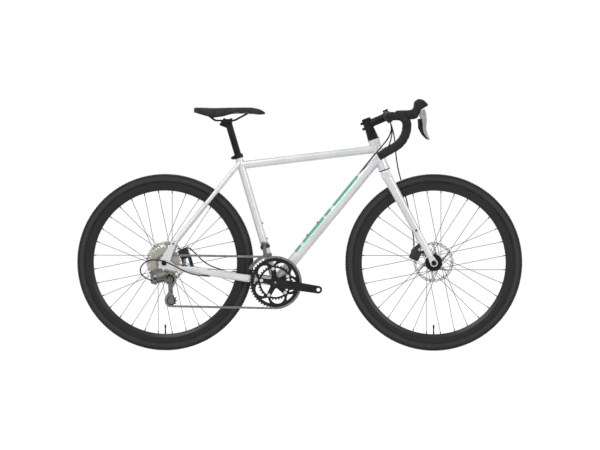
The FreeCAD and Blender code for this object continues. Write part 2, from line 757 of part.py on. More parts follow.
def front_half(offset):
    """Block that holds everything ahead of the bar centre by at least the offset."""
    reach = 2 * STEM_EAR_OUTER
    corners = [
        bar_offset(offset, -reach),
        bar_offset(offset + reach, -reach),
        bar_offset(offset + reach, reach),
        bar_offset(offset, reach),
    ]
    return plate(corners, -STEM_BAR_WIDTH, STEM_BAR_WIDTH)


def stem_body():
    low = steer_point(STEM_HEIGHT)
    high = steer_point(STEER_TOP)
    middle = steer_point(STEM_HEIGHT + STEM_CLAMP_HEIGHT / 2)
    pieces = [rod(low, high, STEM_CLAMP_RADIUS), rod(middle, BAR, STEM_ARM_RADIUS)]
    for bolt in pinch_bolt_points():
        inside = bolt + STEER_AHEAD * PINCH_BACK
        pieces.append(taper_plate(bolt, PINCH_LUG_RADIUS, inside, PINCH_LUG_RADIUS,
                                  -PINCH_LUG_SIDE, PINCH_LUG_SIDE))
    slot = [low, high, steer_point(STEER_TOP, -2 * PINCH_BACK), steer_point(STEM_HEIGHT, -2 * PINCH_BACK)]
    half = STEM_BAR_WIDTH / 2
    cuts = [
        rod(low, high, STEERER_RADIUS + SEAT_GAP),
        plate(slot, -COLLAR_SLOT / 2, COLLAR_SLOT / 2),
        across(BAR, BAR_CLAMP_RADIUS + SEAT_GAP, -half, half),
        front_half(-STEM_SPLIT / 2),
    ]
    for bolt in pinch_bolt_points():
        cuts.append(across(bolt, BOLT_RADIUS + SEAT_GAP, -PINCH_LUG_SIDE, PINCH_LUG_SIDE))
    for start, end in face_bolts():
        cuts.append(rod(start, end, BOLT_RADIUS + SEAT_GAP))
    return largest(joined(pieces + [bar_clamp_block()]).cut(cuts))


def stem_faceplate():
    return bar_clamp_block().common(front_half(STEM_SPLIT / 2))


def cockpit_bolts():
    """Stem bolts and the two lever pivot pins."""
    bolts = []
    for start, end in face_bolts():
        head = end + STEM_AHEAD * BOLT_HEAD_HEIGHT
        bolts.append(joined([rod(start, end, BOLT_RADIUS), rod(end, head, BOLT_HEAD_RADIUS)]))
    end = PINCH_LUG_SIDE + BOLT_HEAD_HEIGHT
    for bolt in pinch_bolt_points():
        shank = across(bolt, BOLT_RADIUS, -PINCH_LUG_SIDE, PINCH_LUG_SIDE)
        bolts.append(joined([shank, across(bolt, BOLT_HEAD_RADIUS, -end, -PINCH_LUG_SIDE)]))
    for side in (RIGHT, LEFT):
        pivot = lever_pivot(side)
        bolts.append(across(pivot, LEVER_PIN_RADIUS, pivot.y - LEVER_PIN_REACH, pivot.y + LEVER_PIN_REACH))
    return group(bolts)


BAR_BENDS = [BAR_TOP_BEND, BAR_FRONT_BEND, BAR_DROP_BEND]


def bar_points(side):
    """Corners of one half of the bar: top, hood, drop and end."""
    return [
        BAR + V(0, side * BAR_HALF_WIDTH, 0),
        BAR + V(BAR_REACH, side * (BAR_HALF_WIDTH + BAR_FLARE), 0),
        BAR + V(BAR_REACH, side * (BAR_HALF_WIDTH + 2 * BAR_FLARE), -BAR_DROP),
        BAR + V(BAR_REACH - BAR_END_BACK, side * (BAR_HALF_WIDTH + 3 * BAR_FLARE),
                -BAR_DROP - BAR_END_DROP),
    ]


def whole_bar(radius):
    points = bar_points(RIGHT)[::-1] + bar_points(LEFT)
    return pipe(points, radius, BAR_BENDS[::-1] + BAR_BENDS)


def handlebar():
    pieces = [whole_bar(BAR_RADIUS), across(BAR, BAR_CLAMP_RADIUS, -BAR_BULGE, BAR_BULGE)]
    for side in (RIGHT, LEFT):
        start = BAR + V(0, side * BAR_BULGE, 0)
        pieces.append(Part.makeCone(BAR_CLAMP_RADIUS, BAR_RADIUS, BAR_TAPER, start, Y_AXIS * side))
    return joined(pieces).cut(whole_bar(BAR_RADIUS - BAR_WALL))


def tape_tube(side, radius):
    points = [BAR + V(0, side * TAPE_START, 0)] + bar_points(side)
    return pipe(points, radius, BAR_BENDS)


def bar_tape():
    """Wrapped tape on both sides, with the plugs that hold its ends."""
    pieces = []
    for side in (RIGHT, LEFT):
        pieces.append(tape_tube(side, TAPE_RADIUS).cut(tape_tube(side, BAR_RADIUS + SEAT_GAP)))
        points = bar_points(side)
        outward = points[-1] - points[-2]
        outward.normalize()
        stub = rod(points[-1] - outward * PLUG_LENGTH, points[-1], BAR_RADIUS - BAR_WALL - SEAT_GAP)
        cap = rod(points[-1], points[-1] + outward * PLUG_HEIGHT, TAPE_RADIUS - BAR_WALL)
        pieces.append(joined([stub, cap]))
    return group(pieces)


# Hoods, brake levers and shift paddles


HOOD_SIDE = BAR_HALF_WIDTH + BAR_FLARE
LEVER_PIN_REACH = 16.0
# Each section of the hood: low and high points ahead of and above the bar clamp, and half width.
HOOD_SECTIONS = (
    (84, -30, 37, 11, 15.0),
    (103, -12, 86, 24, 17.0),
    (121, 1, 105, 38, 18.0),
    (134, 25, 110, 60, 17.0),
    (150, 36, 127, 66, 14.0),
    (157, 46, 144, 59, 8.0),
)


def lever_pivot(side):
    return BAR + V(LEVER_PIVOT_AHEAD, side * HOOD_SIDE, LEVER_PIVOT_RISE)


def hood(side):
    sections = []
    for low_ahead, low_rise, high_ahead, high_rise, half_width in HOOD_SECTIONS:
        low = BAR + V(low_ahead, side * HOOD_SIDE, low_rise)
        high = BAR + V(high_ahead, side * HOOD_SIDE, high_rise)
        sections.append(oval((low + high) / 2, (high - low) / 2, Y_AXIS * half_width))
    pivot = lever_pivot(side)
    pocket = LEVER_HALF_WIDTH + 1
    cuts = [
        tape_tube(side, TAPE_RADIUS),
        across(pivot, LEVER_POCKET_RADIUS, pivot.y - pocket, pivot.y + pocket),
        across(pivot, LEVER_PIN_RADIUS + SEAT_GAP,
               pivot.y - 2 * LEVER_PIN_REACH, pivot.y + 2 * LEVER_PIN_REACH),
    ]
    return largest(Part.makeLoft(sections, True, False).cut(cuts))


def lever_hoods():
    return group([hood(RIGHT), hood(LEFT)])


def blade_outline(pivot, y):
    """Closed outline of a brake lever blade from arcs through its main points."""
    def spot(ahead, rise):
        return V(pivot.x + ahead, y, pivot.z + rise)
    edges = [
        Part.Arc(spot(19, 14), spot(27, -20), spot(25.5, -51)),
        Part.Arc(spot(25.5, -51), spot(29.5, -80), spot(40.5, -104.5)),
        Part.LineSegment(spot(40.5, -104.5), spot(37, -105.5)),
        Part.Arc(spot(37, -105.5), spot(18.5, -83), spot(12, -50)),
        Part.Arc(spot(12, -50), spot(9, -25), spot(0, -7)),
        Part.LineSegment(spot(0, -7), spot(0, 7)),
        Part.LineSegment(spot(0, 7), spot(19, 14)),
    ]
    return Part.Wire([edge.toShape() for edge in edges])


PADDLE_PIVOT = V(3.0, 0, -28.0)
PADDLE_INSET = 8.3
PADDLE_BARREL = (-6.0, 5.8)
PADDLE_LUG = (7.5, 11.0)


def paddle_axis_point(side, ahead):
    """Point on the axis of a shift paddle, which lies on the inner side of the blade."""
    return lever_pivot(side) + PADDLE_PIVOT + V(ahead, -side * PADDLE_INSET, 0)


def brake_lever(side):
    pivot = lever_pivot(side)
    low = pivot.y - LEVER_HALF_WIDTH
    high = pivot.y + LEVER_HALF_WIDTH
    blade = Part.Face(blade_outline(pivot, low)).extrude(Y_AXIS * (high - low))
    lug = across(pivot, LEVER_LUG_RADIUS, low, high)
    far = paddle_axis_point(side, PADDLE_LUG[1])
    pin = rod(paddle_axis_point(side, PADDLE_BARREL[0]), far, PADDLE_PIN_RADIUS)
    ear = rod(paddle_axis_point(side, PADDLE_LUG[0]), far, PADDLE_LUG_RADIUS)
    hole = across(pivot, LEVER_PIN_RADIUS + RUNNING_FIT, low, high)
    return joined([blade, lug, ear, pin]).cut(hole)


def shift_paddle(side):
    pivot = lever_pivot(side)
    inner = pivot.y - side * (PADDLE_INSET + PADDLE_HALF_WIDTH / 2)
    outer = pivot.y - side * (PADDLE_INSET - PADDLE_HALF_WIDTH / 2)
    outline = ((-2, -28), (8, -28), (14, -52), (20, -83), (37, -107), (30, -104), (12, -85), (-1, -60))
    body = plate([pivot + V(ahead, 0, rise) for ahead, rise in outline], inner, outer)
    start = paddle_axis_point(side, PADDLE_BARREL[0])
    end = paddle_axis_point(side, PADDLE_BARREL[1])
    bore = rod(start, paddle_axis_point(side, PADDLE_LUG[1]), PADDLE_PIN_RADIUS + RUNNING_FIT)
    ear_room = rod(end, paddle_axis_point(side, PADDLE_LUG[1] + FREE_GAP), PADDLE_LUG_RADIUS + FREE_GAP)
    return joined([body, rod(start, end, PADDLE_LUG_RADIUS - FREE_GAP)]).cut([bore, ear_room])


# Wheels


SPOKE_OUTER_STAND = 3.8
SPOKE_INNER_STAND = 2.7
SPOKE_HEAD_RADIUS = 1.9
SPOKE_HEAD_HEIGHT = 1.0
SPOKE_HOLE_GAP = 0.1
RIM_FLOOR_DROP = 4.0
RIM_CROWN_WALL = 2.5
DISC_MOUNT_RADIUS = 27.0
DISC_MOUNT_THICKNESS = 4.0
DISC_BORE_RADIUS = 15.0
ROTOR_BOLT_RADIUS = 2.4
ROTOR_BOLT_DEPTH = 5.0
REAR_HUB_RIGHT_END = REAR_FLANGE_RIGHT + 6.0
VALVE_ANGLE = 270.0
FRONT_ROTOR_SIDE = FRONT_HUB_WIDTH / 2 - FRONT_ROTOR_INSET
REAR_ROTOR_SIDE = REAR_HUB_WIDTH / 2 - REAR_ROTOR_INSET


def turned_about(axle, outlines):
    """Ring turned about a wheel axle from closed outlines of side and radius, the first one outside."""
    wires = []
    for outline in outlines:
        corners = [axle + V(0, y, radius) for y, radius in outline]
        wires.append(Part.makePolygon(corners + corners[:1]))
    face = Part.Face(wires[0])
    ring = face.revolve(axle, Y_AXIS, 360)
    hollows = [Part.Face(wire).revolve(axle, Y_AXIS, 360) for wire in wires[1:]]
    return ring.cut(hollows) if hollows else ring


def both_sides(half):
    """Outline of side and radius, completed by its mirror image."""
    return list(half) + [(-y, radius) for y, radius in reversed(half)]


def spoke_lines(axle, flange_left, flange_right):
    """Hub and rim ends of every spoke, with the side and lean that place its head."""
    per_side = SPOKE_COUNT // 2
    step = 360 / per_side
    rim_radius = BEAD_RADIUS - RIM_DEPTH + RIM_CROWN_WALL
    lines = []
    for side, flange in ((LEFT, flange_left), (RIGHT, flange_right)):
        for index in range(per_side):
            rim_angle = (index + side / 4) * step
            lean = 1 if index % 2 else -1
            stand = SPOKE_OUTER_STAND if lean > 0 else -SPOKE_INNER_STAND
            hub_end = axle + turned(rim_angle + lean * SPOKE_CROSSINGS * step) * SPOKE_CIRCLE_RADIUS
            rim_end = axle + turned(rim_angle) * rim_radius
            lines.append((
                at_side(hub_end, side * (flange + stand)),
                at_side(rim_end, side * RIM_HOLE_STAGGER),
                side * flange,
                side * lean,
            ))
    return lines


def nipple_axis(hub_end, rim_end):
    along = hub_end - rim_end
    along.normalize()
    return rim_end, rim_end + along * NIPPLE_LENGTH


def spokes(lines):
    """Bent-head spokes with the nipple on each one."""
    pieces = []
    for hub_end, rim_end, flange, outward in lines:
        far = flange - outward * (FLANGE_THICKNESS / 2 + SPOKE_HOLE_GAP)
        head = far - outward * SPOKE_HEAD_HEIGHT
        seat, mouth = nipple_axis(hub_end, rim_end)
        pieces.append(joined([
            rod(hub_end, rim_end, SPOKE_DIAMETER / 2),
            across(hub_end, SPOKE_DIAMETER / 2, hub_end.y, far),
            across(hub_end, SPOKE_HEAD_RADIUS, far, head),
        ]))
        nipple = rod(seat, mouth, NIPPLE_DIAMETER / 2)
        pieces.append(nipple.cut(rod(seat, mouth, SPOKE_DIAMETER / 2 + SPOKE_HOLE_GAP)))
    return group(pieces)


def rim(axle, lines):
    """Hollow rim with a tyre channel, spoke holes and a valve hole."""
    half = RIM_WIDTH / 2
    crown = BEAD_RADIUS - RIM_DEPTH
    shoulder = BEAD_RADIUS - RIM_DEPTH / 2
    floor = BEAD_RADIUS - RIM_FLOOR_DROP
    lip = BEAD_RADIUS + RIM_LIP
    outside = both_sides([
        (RIM_CROWN_WIDTH / 2, crown),
        (half, shoulder),
        (half, lip),
        (half - RIM_WALL, lip),
        (half - RIM_WALL, BEAD_RADIUS),
        (half - RIM_WALL - RIM_FLOOR_DROP, floor),
    ])
    cavity = both_sides([
        (RIM_CROWN_WIDTH / 2 - RIM_WALL / 2, crown + RIM_CROWN_WALL),
        (half - RIM_WALL, shoulder),
        (half - RIM_WALL, floor - RIM_WALL),
    ])
    holes = []
    for hub_end, rim_end, flange, outward in lines:
        seat, mouth = nipple_axis(hub_end, rim_end)
        along = seat - mouth
        along.normalize()
        holes.append(rod(mouth, seat + along * RIM_WALL, NIPPLE_DIAMETER / 2 + SEAT_GAP))
    valve = turned(VALVE_ANGLE)
    holes.append(rod(axle + valve * (crown - RIM_WALL), axle + valve * lip, VALVE_DIAMETER / 2 + SEAT_GAP))
    return turned_about(axle, [outside, cavity]).cut(holes)


def tyre_half(inset):
    """Right half of the tyre section, as arcs from the bead up to the middle of the tread."""
    half = TYRE_WIDTH / 2 - inset
    top = BEAD_RADIUS + TYRE_HEIGHT - inset
    widest = BEAD_RADIUS + TYRE_HEIGHT / 2
    neck = RIM_WIDTH / 2 - RIM_WALL - SEAT_GAP - inset
    lip = BEAD_RADIUS + RIM_LIP + FREE_GAP + inset / 4
    low_arc = ((neck, lip), (half - 1.8, (lip + widest) / 2 - 2), (half, widest))
    high_arc = ((half, widest), (half * 0.72, widest + (top - widest) * 0.71), (0, top))
    return low_arc, high_arc


def tyre(axle):
    """Casing open between its beads, with the inner tube and its valve inside."""
    def spot(point, sign):
        return axle + V(0, sign * point[0], point[1])
    edges = []
    for inset in (0, TYRE_WALL):
        low_arc, high_arc = tyre_half(inset)
        for sign in (RIGHT, LEFT):
            for arc in (low_arc, high_arc):
                edges.append(Part.Arc(*[spot(point, sign) for point in arc]).toShape())
    outer_neck = tyre_half(0)[0][0]
    inner_neck = tyre_half(TYRE_WALL)[0][0]
    bead = BEAD_RADIUS + SEAT_GAP
    for sign in (RIGHT, LEFT):
        foot = [outer_neck, (outer_neck[0], bead), (inner_neck[0], bead), inner_neck]
        corners = [spot(point, sign) for point in foot]
        edges += Part.makePolygon(corners).Edges
    loops = Part.Wire(Part.__sortEdges__(edges))
    casing = Part.Face(loops).revolve(axle, Y_AXIS, 360)
    inner_top = BEAD_RADIUS + TYRE_HEIGHT - TYRE_WALL - FREE_GAP
    tube_radius = (inner_top - inner_neck[1] - FREE_GAP) / 2
    tube = Part.makeTorus(inner_top - tube_radius, tube_radius, axle, Y_AXIS)
    bore = Part.makeTorus(inner_top - tube_radius, tube_radius - TUBE_WALL, axle, Y_AXIS)
    stem_line = turned(VALVE_ANGLE)
    root = axle + stem_line * (inner_top - 2 * tube_radius + TUBE_WALL / 2)
    tip = axle + stem_line * (BEAD_RADIUS - RIM_DEPTH - VALVE_LENGTH)
    return group([casing, joined([tube.cut(bore), rod(root, tip, VALVE_DIAMETER / 2)])])


def disc_bolt_points(axle):
    return [axle + turned(60 * index) * ROTOR_BOLT_CIRCLE for index in range(6)]


def hub(axle, lines, flange_left, flange_right, left_end, right_end, rotor_side):
    """Hub shell with two spoke flanges, a rotor mount on the left and end caps."""
    mount = rotor_side - ROTOR_THICKNESS / 2
    half = FLANGE_THICKNESS / 2
    pieces = [
        across(axle, HUB_BARREL_RADIUS, -flange_right, mount),
        across(axle, FLANGE_RADIUS, flange_left - half, flange_left + half),
        across(axle, FLANGE_RADIUS, -flange_right - half, -flange_right + half),
        across(axle, DISC_MOUNT_RADIUS, mount - DISC_MOUNT_THICKNESS, mount),
        across(axle, HUB_END_RADIUS, -right_end, left_end),
    ]
    holes = [across(axle, AXLE_DIAMETER / 2 + RUNNING_FIT, -right_end, left_end)]
    for hub_end, rim_end, flange, outward in lines:
        holes.append(across(hub_end, SPOKE_DIAMETER / 2 + SPOKE_HOLE_GAP, flange - half, flange + half))
    for bolt in disc_bolt_points(axle):
        holes.append(across(bolt, ROTOR_BOLT_RADIUS + SEAT_GAP, mount - DISC_MOUNT_THICKNESS, mount))
    return joined(pieces).cut(holes)


ROTOR_SCALLOP_OUT = 7.0
ROTOR_SCALLOP_IN = 6.0
ROTOR_SCALLOP_DEPTH = 2.5
# Cooling holes in each wave: place along it and across the track, as shares.
ROTOR_HOLES = ((0.0, 0.66), (0.28, 0.4), (-0.28, 0.4))
ROTOR_HOLE_RADIUS = 2.2
ROTOR_ARM_OVERLAP = 3.0
ROTOR_ARM_ROOT = 5.0
ROTOR_ARM_TIP = 3.5
ROTOR_BOLT_HEAD = ROTOR_BOLT_RADIUS + 1.0
ROTOR_BOLT_HEAD_HEIGHT = 1.5


def rotor(axle, side):
    """Wavy brake disc with slanted arms, and the bolts that hold it."""
    inner = side - ROTOR_THICKNESS / 2
    outer = side + ROTOR_THICKNESS / 2
    track = ROTOR_RADIUS - ROTOR_TRACK
    pieces = [
        ring_across(axle, ROTOR_RADIUS, track, inner, outer),
        ring_across(axle, DISC_MOUNT_RADIUS, DISC_BORE_RADIUS, inner, outer),
    ]
    wave = 360 / ROTOR_WAVES
    cuts = []
    for index in range(ROTOR_WAVES):
        middle = (index + 0.5) * wave
        outside = axle + turned(middle) * (ROTOR_RADIUS + ROTOR_SCALLOP_OUT)
        inside = axle + turned(middle) * (track - ROTOR_SCALLOP_IN)
        cuts.append(across(outside, ROTOR_SCALLOP_OUT + ROTOR_SCALLOP_DEPTH, inner, outer))
        cuts.append(across(inside, ROTOR_SCALLOP_IN + ROTOR_SCALLOP_DEPTH, inner, outer))
        for shift, radius in ROTOR_HOLES:
            spot = axle + turned((index + shift) * wave) * (track + ROTOR_TRACK * radius)
            cuts.append(across(spot, ROTOR_HOLE_RADIUS, inner, outer))
    arm = 360 / ROTOR_ARMS
    for index in range(ROTOR_ARMS):
        low = axle + turned(index * arm) * (DISC_MOUNT_RADIUS - ROTOR_ARM_OVERLAP)
        high = axle + turned((index + 0.5) * arm) * (track + ROTOR_ARM_OVERLAP)
        pieces.append(taper_plate(low, ROTOR_ARM_ROOT, high, ROTOR_ARM_TIP, inner, outer))
    bolts = []
    for bolt in disc_bolt_points(axle):
        cuts.append(across(bolt, ROTOR_BOLT_RADIUS + SEAT_GAP, inner, outer))
        shank = across(bolt, ROTOR_BOLT_RADIUS, outer - ROTOR_BOLT_DEPTH, outer)
        head = across(bolt, ROTOR_BOLT_HEAD, outer, outer + ROTOR_BOLT_HEAD_HEIGHT)
        bolts.append(joined([shank, head]))
    return group([largest(joined(pieces).cut(cuts))] + bolts)


# Brake calipers


CALIPER_ROUNDING = 4.0
CALIPER_PIN_REACH = 1.5
CALIPER_ARM_EYE = 9.0
CALIPER_ARM_TIP = 5.0
FRONT_ARM_ANGLE = 100.0
REAR_ARM_ANGLE = 62.0
# Front posts: rise up the leg, then distance from the axle and along the caliper.
FRONT_POSTS = ((88.0, 92.0, -10.0), (50.0, 66.0, -8.0))
FRONT_POST_RADIUS = 8.0
# Rear posts: distance back along the stay, then distance from the axle.
REAR_POSTS = ((10.0, 66.0), (-22.0, 92.0))
REAR_POST_RADIUS = 7.0
REAR_POST_SHARE = 0.9


def caliper_spot(axle, angle, radial, tangent):
    return axle + turned(angle) * radial + turned(angle + 90) * tangent


def caliper_block(axle, angle, rotor_side):
    high = CALIPER_RADIUS + CALIPER_HEIGHT / 2
    low = CALIPER_RADIUS - CALIPER_HEIGHT / 2
    half = CALIPER_LENGTH / 2
    corners = [
        caliper_spot(axle, angle, low, -half),
        caliper_spot(axle, angle, high, -half),
        caliper_spot(axle, angle, high, half),
        caliper_spot(axle, angle, low, half),
    ]
    block = plate(corners, rotor_side - CALIPER_INNER, rotor_side + CALIPER_OUTER)
    return block.makeFillet(CALIPER_ROUNDING, block.Edges)


def caliper(axle, angle, rotor_side, posts, held_by):
    """Caliper round the rotor, on posts that reach the frame or fork."""
    outer = rotor_side + CALIPER_OUTER
    centre = caliper_spot(axle, angle, CALIPER_RADIUS, 0)
    end = outer + FREE_GAP + CALIPER_ARM_THICKNESS + CALIPER_PIN_REACH
    pin = across(centre, CALIPER_PIVOT_RADIUS, rotor_side + CALIPER_INNER, end)
    slot = across(axle, ROTOR_RADIUS + ROTOR_SLOT, rotor_side - ROTOR_SLOT / 2, rotor_side + ROTOR_SLOT / 2)
    body = joined([caliper_block(axle, angle, rotor_side), pin] + posts)
    return largest(body.cut(held_by + [slot]))


def caliper_arm(axle, angle, rotor_side, arm_angle):
    """Lever on the outside of a caliper, pulled by the cable."""
    centre = caliper_spot(axle, angle, CALIPER_RADIUS, 0)
    tip = centre + turned(arm_angle) * CALIPER_ARM_LENGTH
    inner = rotor_side + CALIPER_OUTER + FREE_GAP
    outer = inner + CALIPER_ARM_THICKNESS
    arm = taper_plate(centre, CALIPER_ARM_EYE, tip, CALIPER_ARM_TIP, inner, outer)
    return arm.cut(across(centre, CALIPER_PIVOT_RADIUS + RUNNING_FIT, inner, outer))


def front_caliper():
    inner = FRONT_HUB_WIDTH / 2 - FORK_TIP_THICKNESS / 3
    outer = FRONT_ROTOR_SIDE + CALIPER_OUTER
    posts = []
    for rise, radial, tangent in FRONT_POSTS:
        foot = FRONT_AXLE + LEG_RUN * rise
        seat = caliper_spot(FRONT_AXLE, FRONT_CALIPER_ANGLE, radial, tangent)
        posts.append(taper_plate(foot, FRONT_POST_RADIUS, seat, FRONT_POST_RADIUS, inner, outer))
    return caliper(FRONT_AXLE, FRONT_CALIPER_ANGLE, FRONT_ROTOR_SIDE, posts, [leg_body(LEFT)])


def rear_caliper():
    inner = REAR_ROTOR_SIDE + CALIPER_INNER / 2
    outer = REAR_ROTOR_SIDE + CALIPER_OUTER
    stay = at_side(chainstay_centre(REAR_POST_SHARE, LEFT), 0)
    posts = []
    for back, radial in REAR_POSTS:
        seat = caliper_spot(REAR_AXLE, REAR_CALIPER_ANGLE, radial, REAR_POST_RADIUS - CALIPER_LENGTH / 2)
        foot = stay - V(back, 0, 0)
        posts.append(taper_plate(foot, REAR_POST_RADIUS, seat, REAR_POST_RADIUS, inner, outer))
    return caliper(REAR_AXLE, REAR_CALIPER_ANGLE, REAR_ROTOR_SIDE, posts, [chainstay_body(LEFT)])


# Chain, sprockets and cranks


ROOT_DEPTH = 4.1
ROOT_HALF_WIDTH = 2.6
TIP_HEIGHT = 2.6
TIP_HALF_WIDTH = 0.6
LINK_PLATE_GAP = 0.1
LINK_PIN_GAP = 0.12
COG_SIDE = {}
for cog_index, cog_teeth in enumerate(COG_TEETH):
    COG_SIDE[cog_teeth] = -(REAR_HUB_WIDTH / 2 - SMALL_COG_INSET - cog_index * COG_PITCH)
CHAIN_SIDE = COG_SIDE[CHAIN_COG]
UPPER = REAR_AXLE + UPPER_JOCKEY
LOWER = REAR_AXLE + LOWER_JOCKEY
CLOCKWISE = -1
COUNTERCLOCKWISE = 1
# The sprockets that the chain runs round, in order: name, centre, teeth, sense and side.
CHAIN_WHEELS = (
    ("ring", BB, OUTER_RING_TEETH, CLOCKWISE, -OUTER_RING_LINE),
    ("lower", LOWER, JOCKEY_TEETH, CLOCKWISE, CHAIN_SIDE),
    ("upper", UPPER, JOCKEY_TEETH, COUNTERCLOCKWISE, CHAIN_SIDE),
    ("cog", REAR_AXLE, CHAIN_COG, CLOCKWISE, CHAIN_SIDE),
)


def pitch_radius(teeth):
    return CHAIN_PITCH / (2 * math.sin(math.pi / teeth))


def angle_of(vector):
    return math.degrees(math.atan2(vector.z, vector.x))


def run_between(first, second):
    """Start and end of the straight chain run from one sprocket to the next."""
    offset = second[1] - first[1]
    reach_first = first[3] * pitch_radius(first[2])
    reach_second = second[3] * pitch_radius(second[2])
    heading = angle_of(offset) - math.degrees(math.asin((reach_second - reach_first) / offset.Length))
    left = turned(heading + 90)
    start = at_side(first[1] - left * reach_first, first[4])
    end = at_side(second[1] - left * reach_second, second[4])
    return start, end


def chain_pins():
    """Pin centres all round the chain, and the angle of one pin on each sprocket."""
    wheels = list(CHAIN_WHEELS)
    runs = [run_between(wheels[i], wheels[(i + 1) % len(wheels)]) for i in range(len(wheels))]
    arcs = []
    for index, wheel in enumerate(wheels):
        start = angle_of(runs[index - 1][1] - wheel[1])
        sweep = (wheel[3] * (angle_of(runs[index][0] - wheel[1]) - start)) % 360
        arcs.append((start, sweep * wheel[2] / 360))
    straight = sum((end - start).Length for start, end in runs)
    wrapped = sum(pitches for start, pitches in arcs)
    count = 2 * round((wrapped + straight / CHAIN_PITCH) / 2)
    stretch = straight / (count - wrapped)
    pins = []
    phases = {}
    travelled = 0.0
    for index, wheel in enumerate(wheels):
        start, pitches = arcs[index]
        while len(pins) < count and len(pins) <= travelled + pitches:
            angle = start + wheel[3] * (len(pins) - travelled) * 360 / wheel[2]
            phases[wheel[0]] = angle
            pins.append(at_side(wheel[1] + turned(angle) * pitch_radius(wheel[2]), wheel[4]))
        travelled += pitches
        begin, end = runs[index]
        pitches = (end - begin).Length / stretch
        while len(pins) < count and len(pins) <= travelled + pitches:
            pins.append(begin + (end - begin) * ((len(pins) - travelled) / pitches))
        travelled += pitches
    return pins, phases


def link_shape(plate_inner, barrel_radius, barrel_half, bore_radius):
    """One chain link: two plates with a barrel through each end."""
    ends = (V(-CHAIN_PITCH / 2, 0, 0), V(CHAIN_PITCH / 2, 0, 0))
    plate_outer = plate_inner + LINK_PLATE
    pieces = []
    for sign in (-1, 1):
        pieces.append(taper_plate(ends[0], LINK_END_RADIUS, ends[1], LINK_END_RADIUS,
                                  sign * plate_inner, sign * plate_outer))
    pieces += [across(end, barrel_radius, -barrel_half, barrel_half) for end in ends]
    link = joined(pieces)
    if not bore_radius:
        return link
    return link.cut([across(end, bore_radius, -plate_outer, plate_outer) for end in ends])


def chain():
    """Roller chain on the outer ring and one cog, through both jockey wheels."""
    inner_outer = LINK_INNER_HALF + LINK_PLATE + LINK_PLATE_GAP
    inner_link = link_shape(LINK_INNER_HALF, ROLLER_RADIUS, LINK_INNER_HALF, LINK_PIN_RADIUS + LINK_PIN_GAP)
    outer_link = link_shape(inner_outer, LINK_PIN_RADIUS, inner_outer + LINK_PLATE, None)
    pins, phases = chain_pins()
    links = []
    for index, pin in enumerate(pins):
        following = pins[(index + 1) % len(pins)]
        along = following - pin
        along.normalize()
        turn = FreeCAD.Rotation(along, Y_AXIS, along.cross(Y_AXIS), "XZY")
        link = (inner_link if index % 2 else outer_link).copy()
        link.Placement = FreeCAD.Placement((pin + following) * 0.5, turn)
        links.append(link)
    return group(links)


def toothed_plate(centre, teeth, phase, side, thickness):
    """Sprocket with a tooth gap at the phase angle."""
    radius = pitch_radius(teeth)
    step = 360 / teeth
    corners = []
    for index in range(teeth):
        gap = phase + index * step
        root = centre + turned(gap) * (radius - ROOT_DEPTH)
        tip = centre + turned(gap + step / 2) * (radius + TIP_HEIGHT)
        corners += [root - turned(gap + 90) * ROOT_HALF_WIDTH, root + turned(gap + 90) * ROOT_HALF_WIDTH]
        sideways = turned(gap + step / 2 + 90) * TIP_HALF_WIDTH
        corners += [tip - sideways, tip + sideways]
    return plate(corners, side - thickness / 2, side + thickness / 2)


INNER_RING_LINE = OUTER_RING_LINE - RING_SPACING
RING_WINDOW_RADIUS = 27.5
RING_WINDOW_CENTRE = 56.0
RING_BORE = 48.0
RING_NOTCH_INNER = 66.5
RING_NOTCH_OUTER = 84.0
RING_NOTCH_HALF_WIDTH = 20.0
INNER_RING_BORE = 57.0
INNER_RING_TAB = 8.0
RING_BOLT_HEAD = 6.5
RING_BOLT_HEAD_HEIGHT = 0.8
SPIDER_EYE = 9.0
SPIDER_ROOT = 12.0
SPIDER_HUB_WALL = 4.0
CRANK_BOSS_INNER = 42.0
CRANK_BORE_RADIUS = 5.0


def ring_bolt_angles():
    first = CRANK_ANGLE + 180 / SPIDER_ARMS
    return [first + index * 360 / SPIDER_ARMS for index in range(SPIDER_ARMS)]


def ring_bolt_points():
    return [BB + turned(angle) * RING_BOLT_CIRCLE for angle in ring_bolt_angles()]


def ring_notch(angle, low, high):
    """Three-cornered opening outside a bolt tab, rounded where it meets the rim of the ring."""
    tip = BB + turned(angle) * RING_NOTCH_INNER
    base = BB + turned(angle) * RING_NOTCH_OUTER
    sideways = turned(angle + 90) * RING_NOTCH_HALF_WIDTH
    wedge = plate([tip, base - sideways, base + sideways], low, high)
    return wedge.common(across(BB, RING_NOTCH_OUTER, low, high))


def outer_ring():
    """Large ring: a toothed rim with a tab for each bolt, held by two arms."""
    low = -OUTER_RING_LINE - RING_THICKNESS
    high = -OUTER_RING_LINE + RING_THICKNESS
    phase = chain_pins()[1]["ring"]
    ring = toothed_plate(BB, OUTER_RING_TEETH, phase, -OUTER_RING_LINE, RING_THICKNESS)
    cuts = [across(bolt, RING_BOLT_RADIUS + SEAT_GAP, low, high) for bolt in ring_bolt_points()]
    cuts += [ring_notch(angle, low, high) for angle in ring_bolt_angles()]
    cuts.append(across(BB, RING_BORE, low, high))
    for index in range(SPIDER_ARMS):
        middle = BB + turned(CRANK_ANGLE + index * 360 / SPIDER_ARMS) * RING_WINDOW_CENTRE
        cuts.append(across(middle, RING_WINDOW_RADIUS, low, high))
    return largest(ring.cut(cuts))


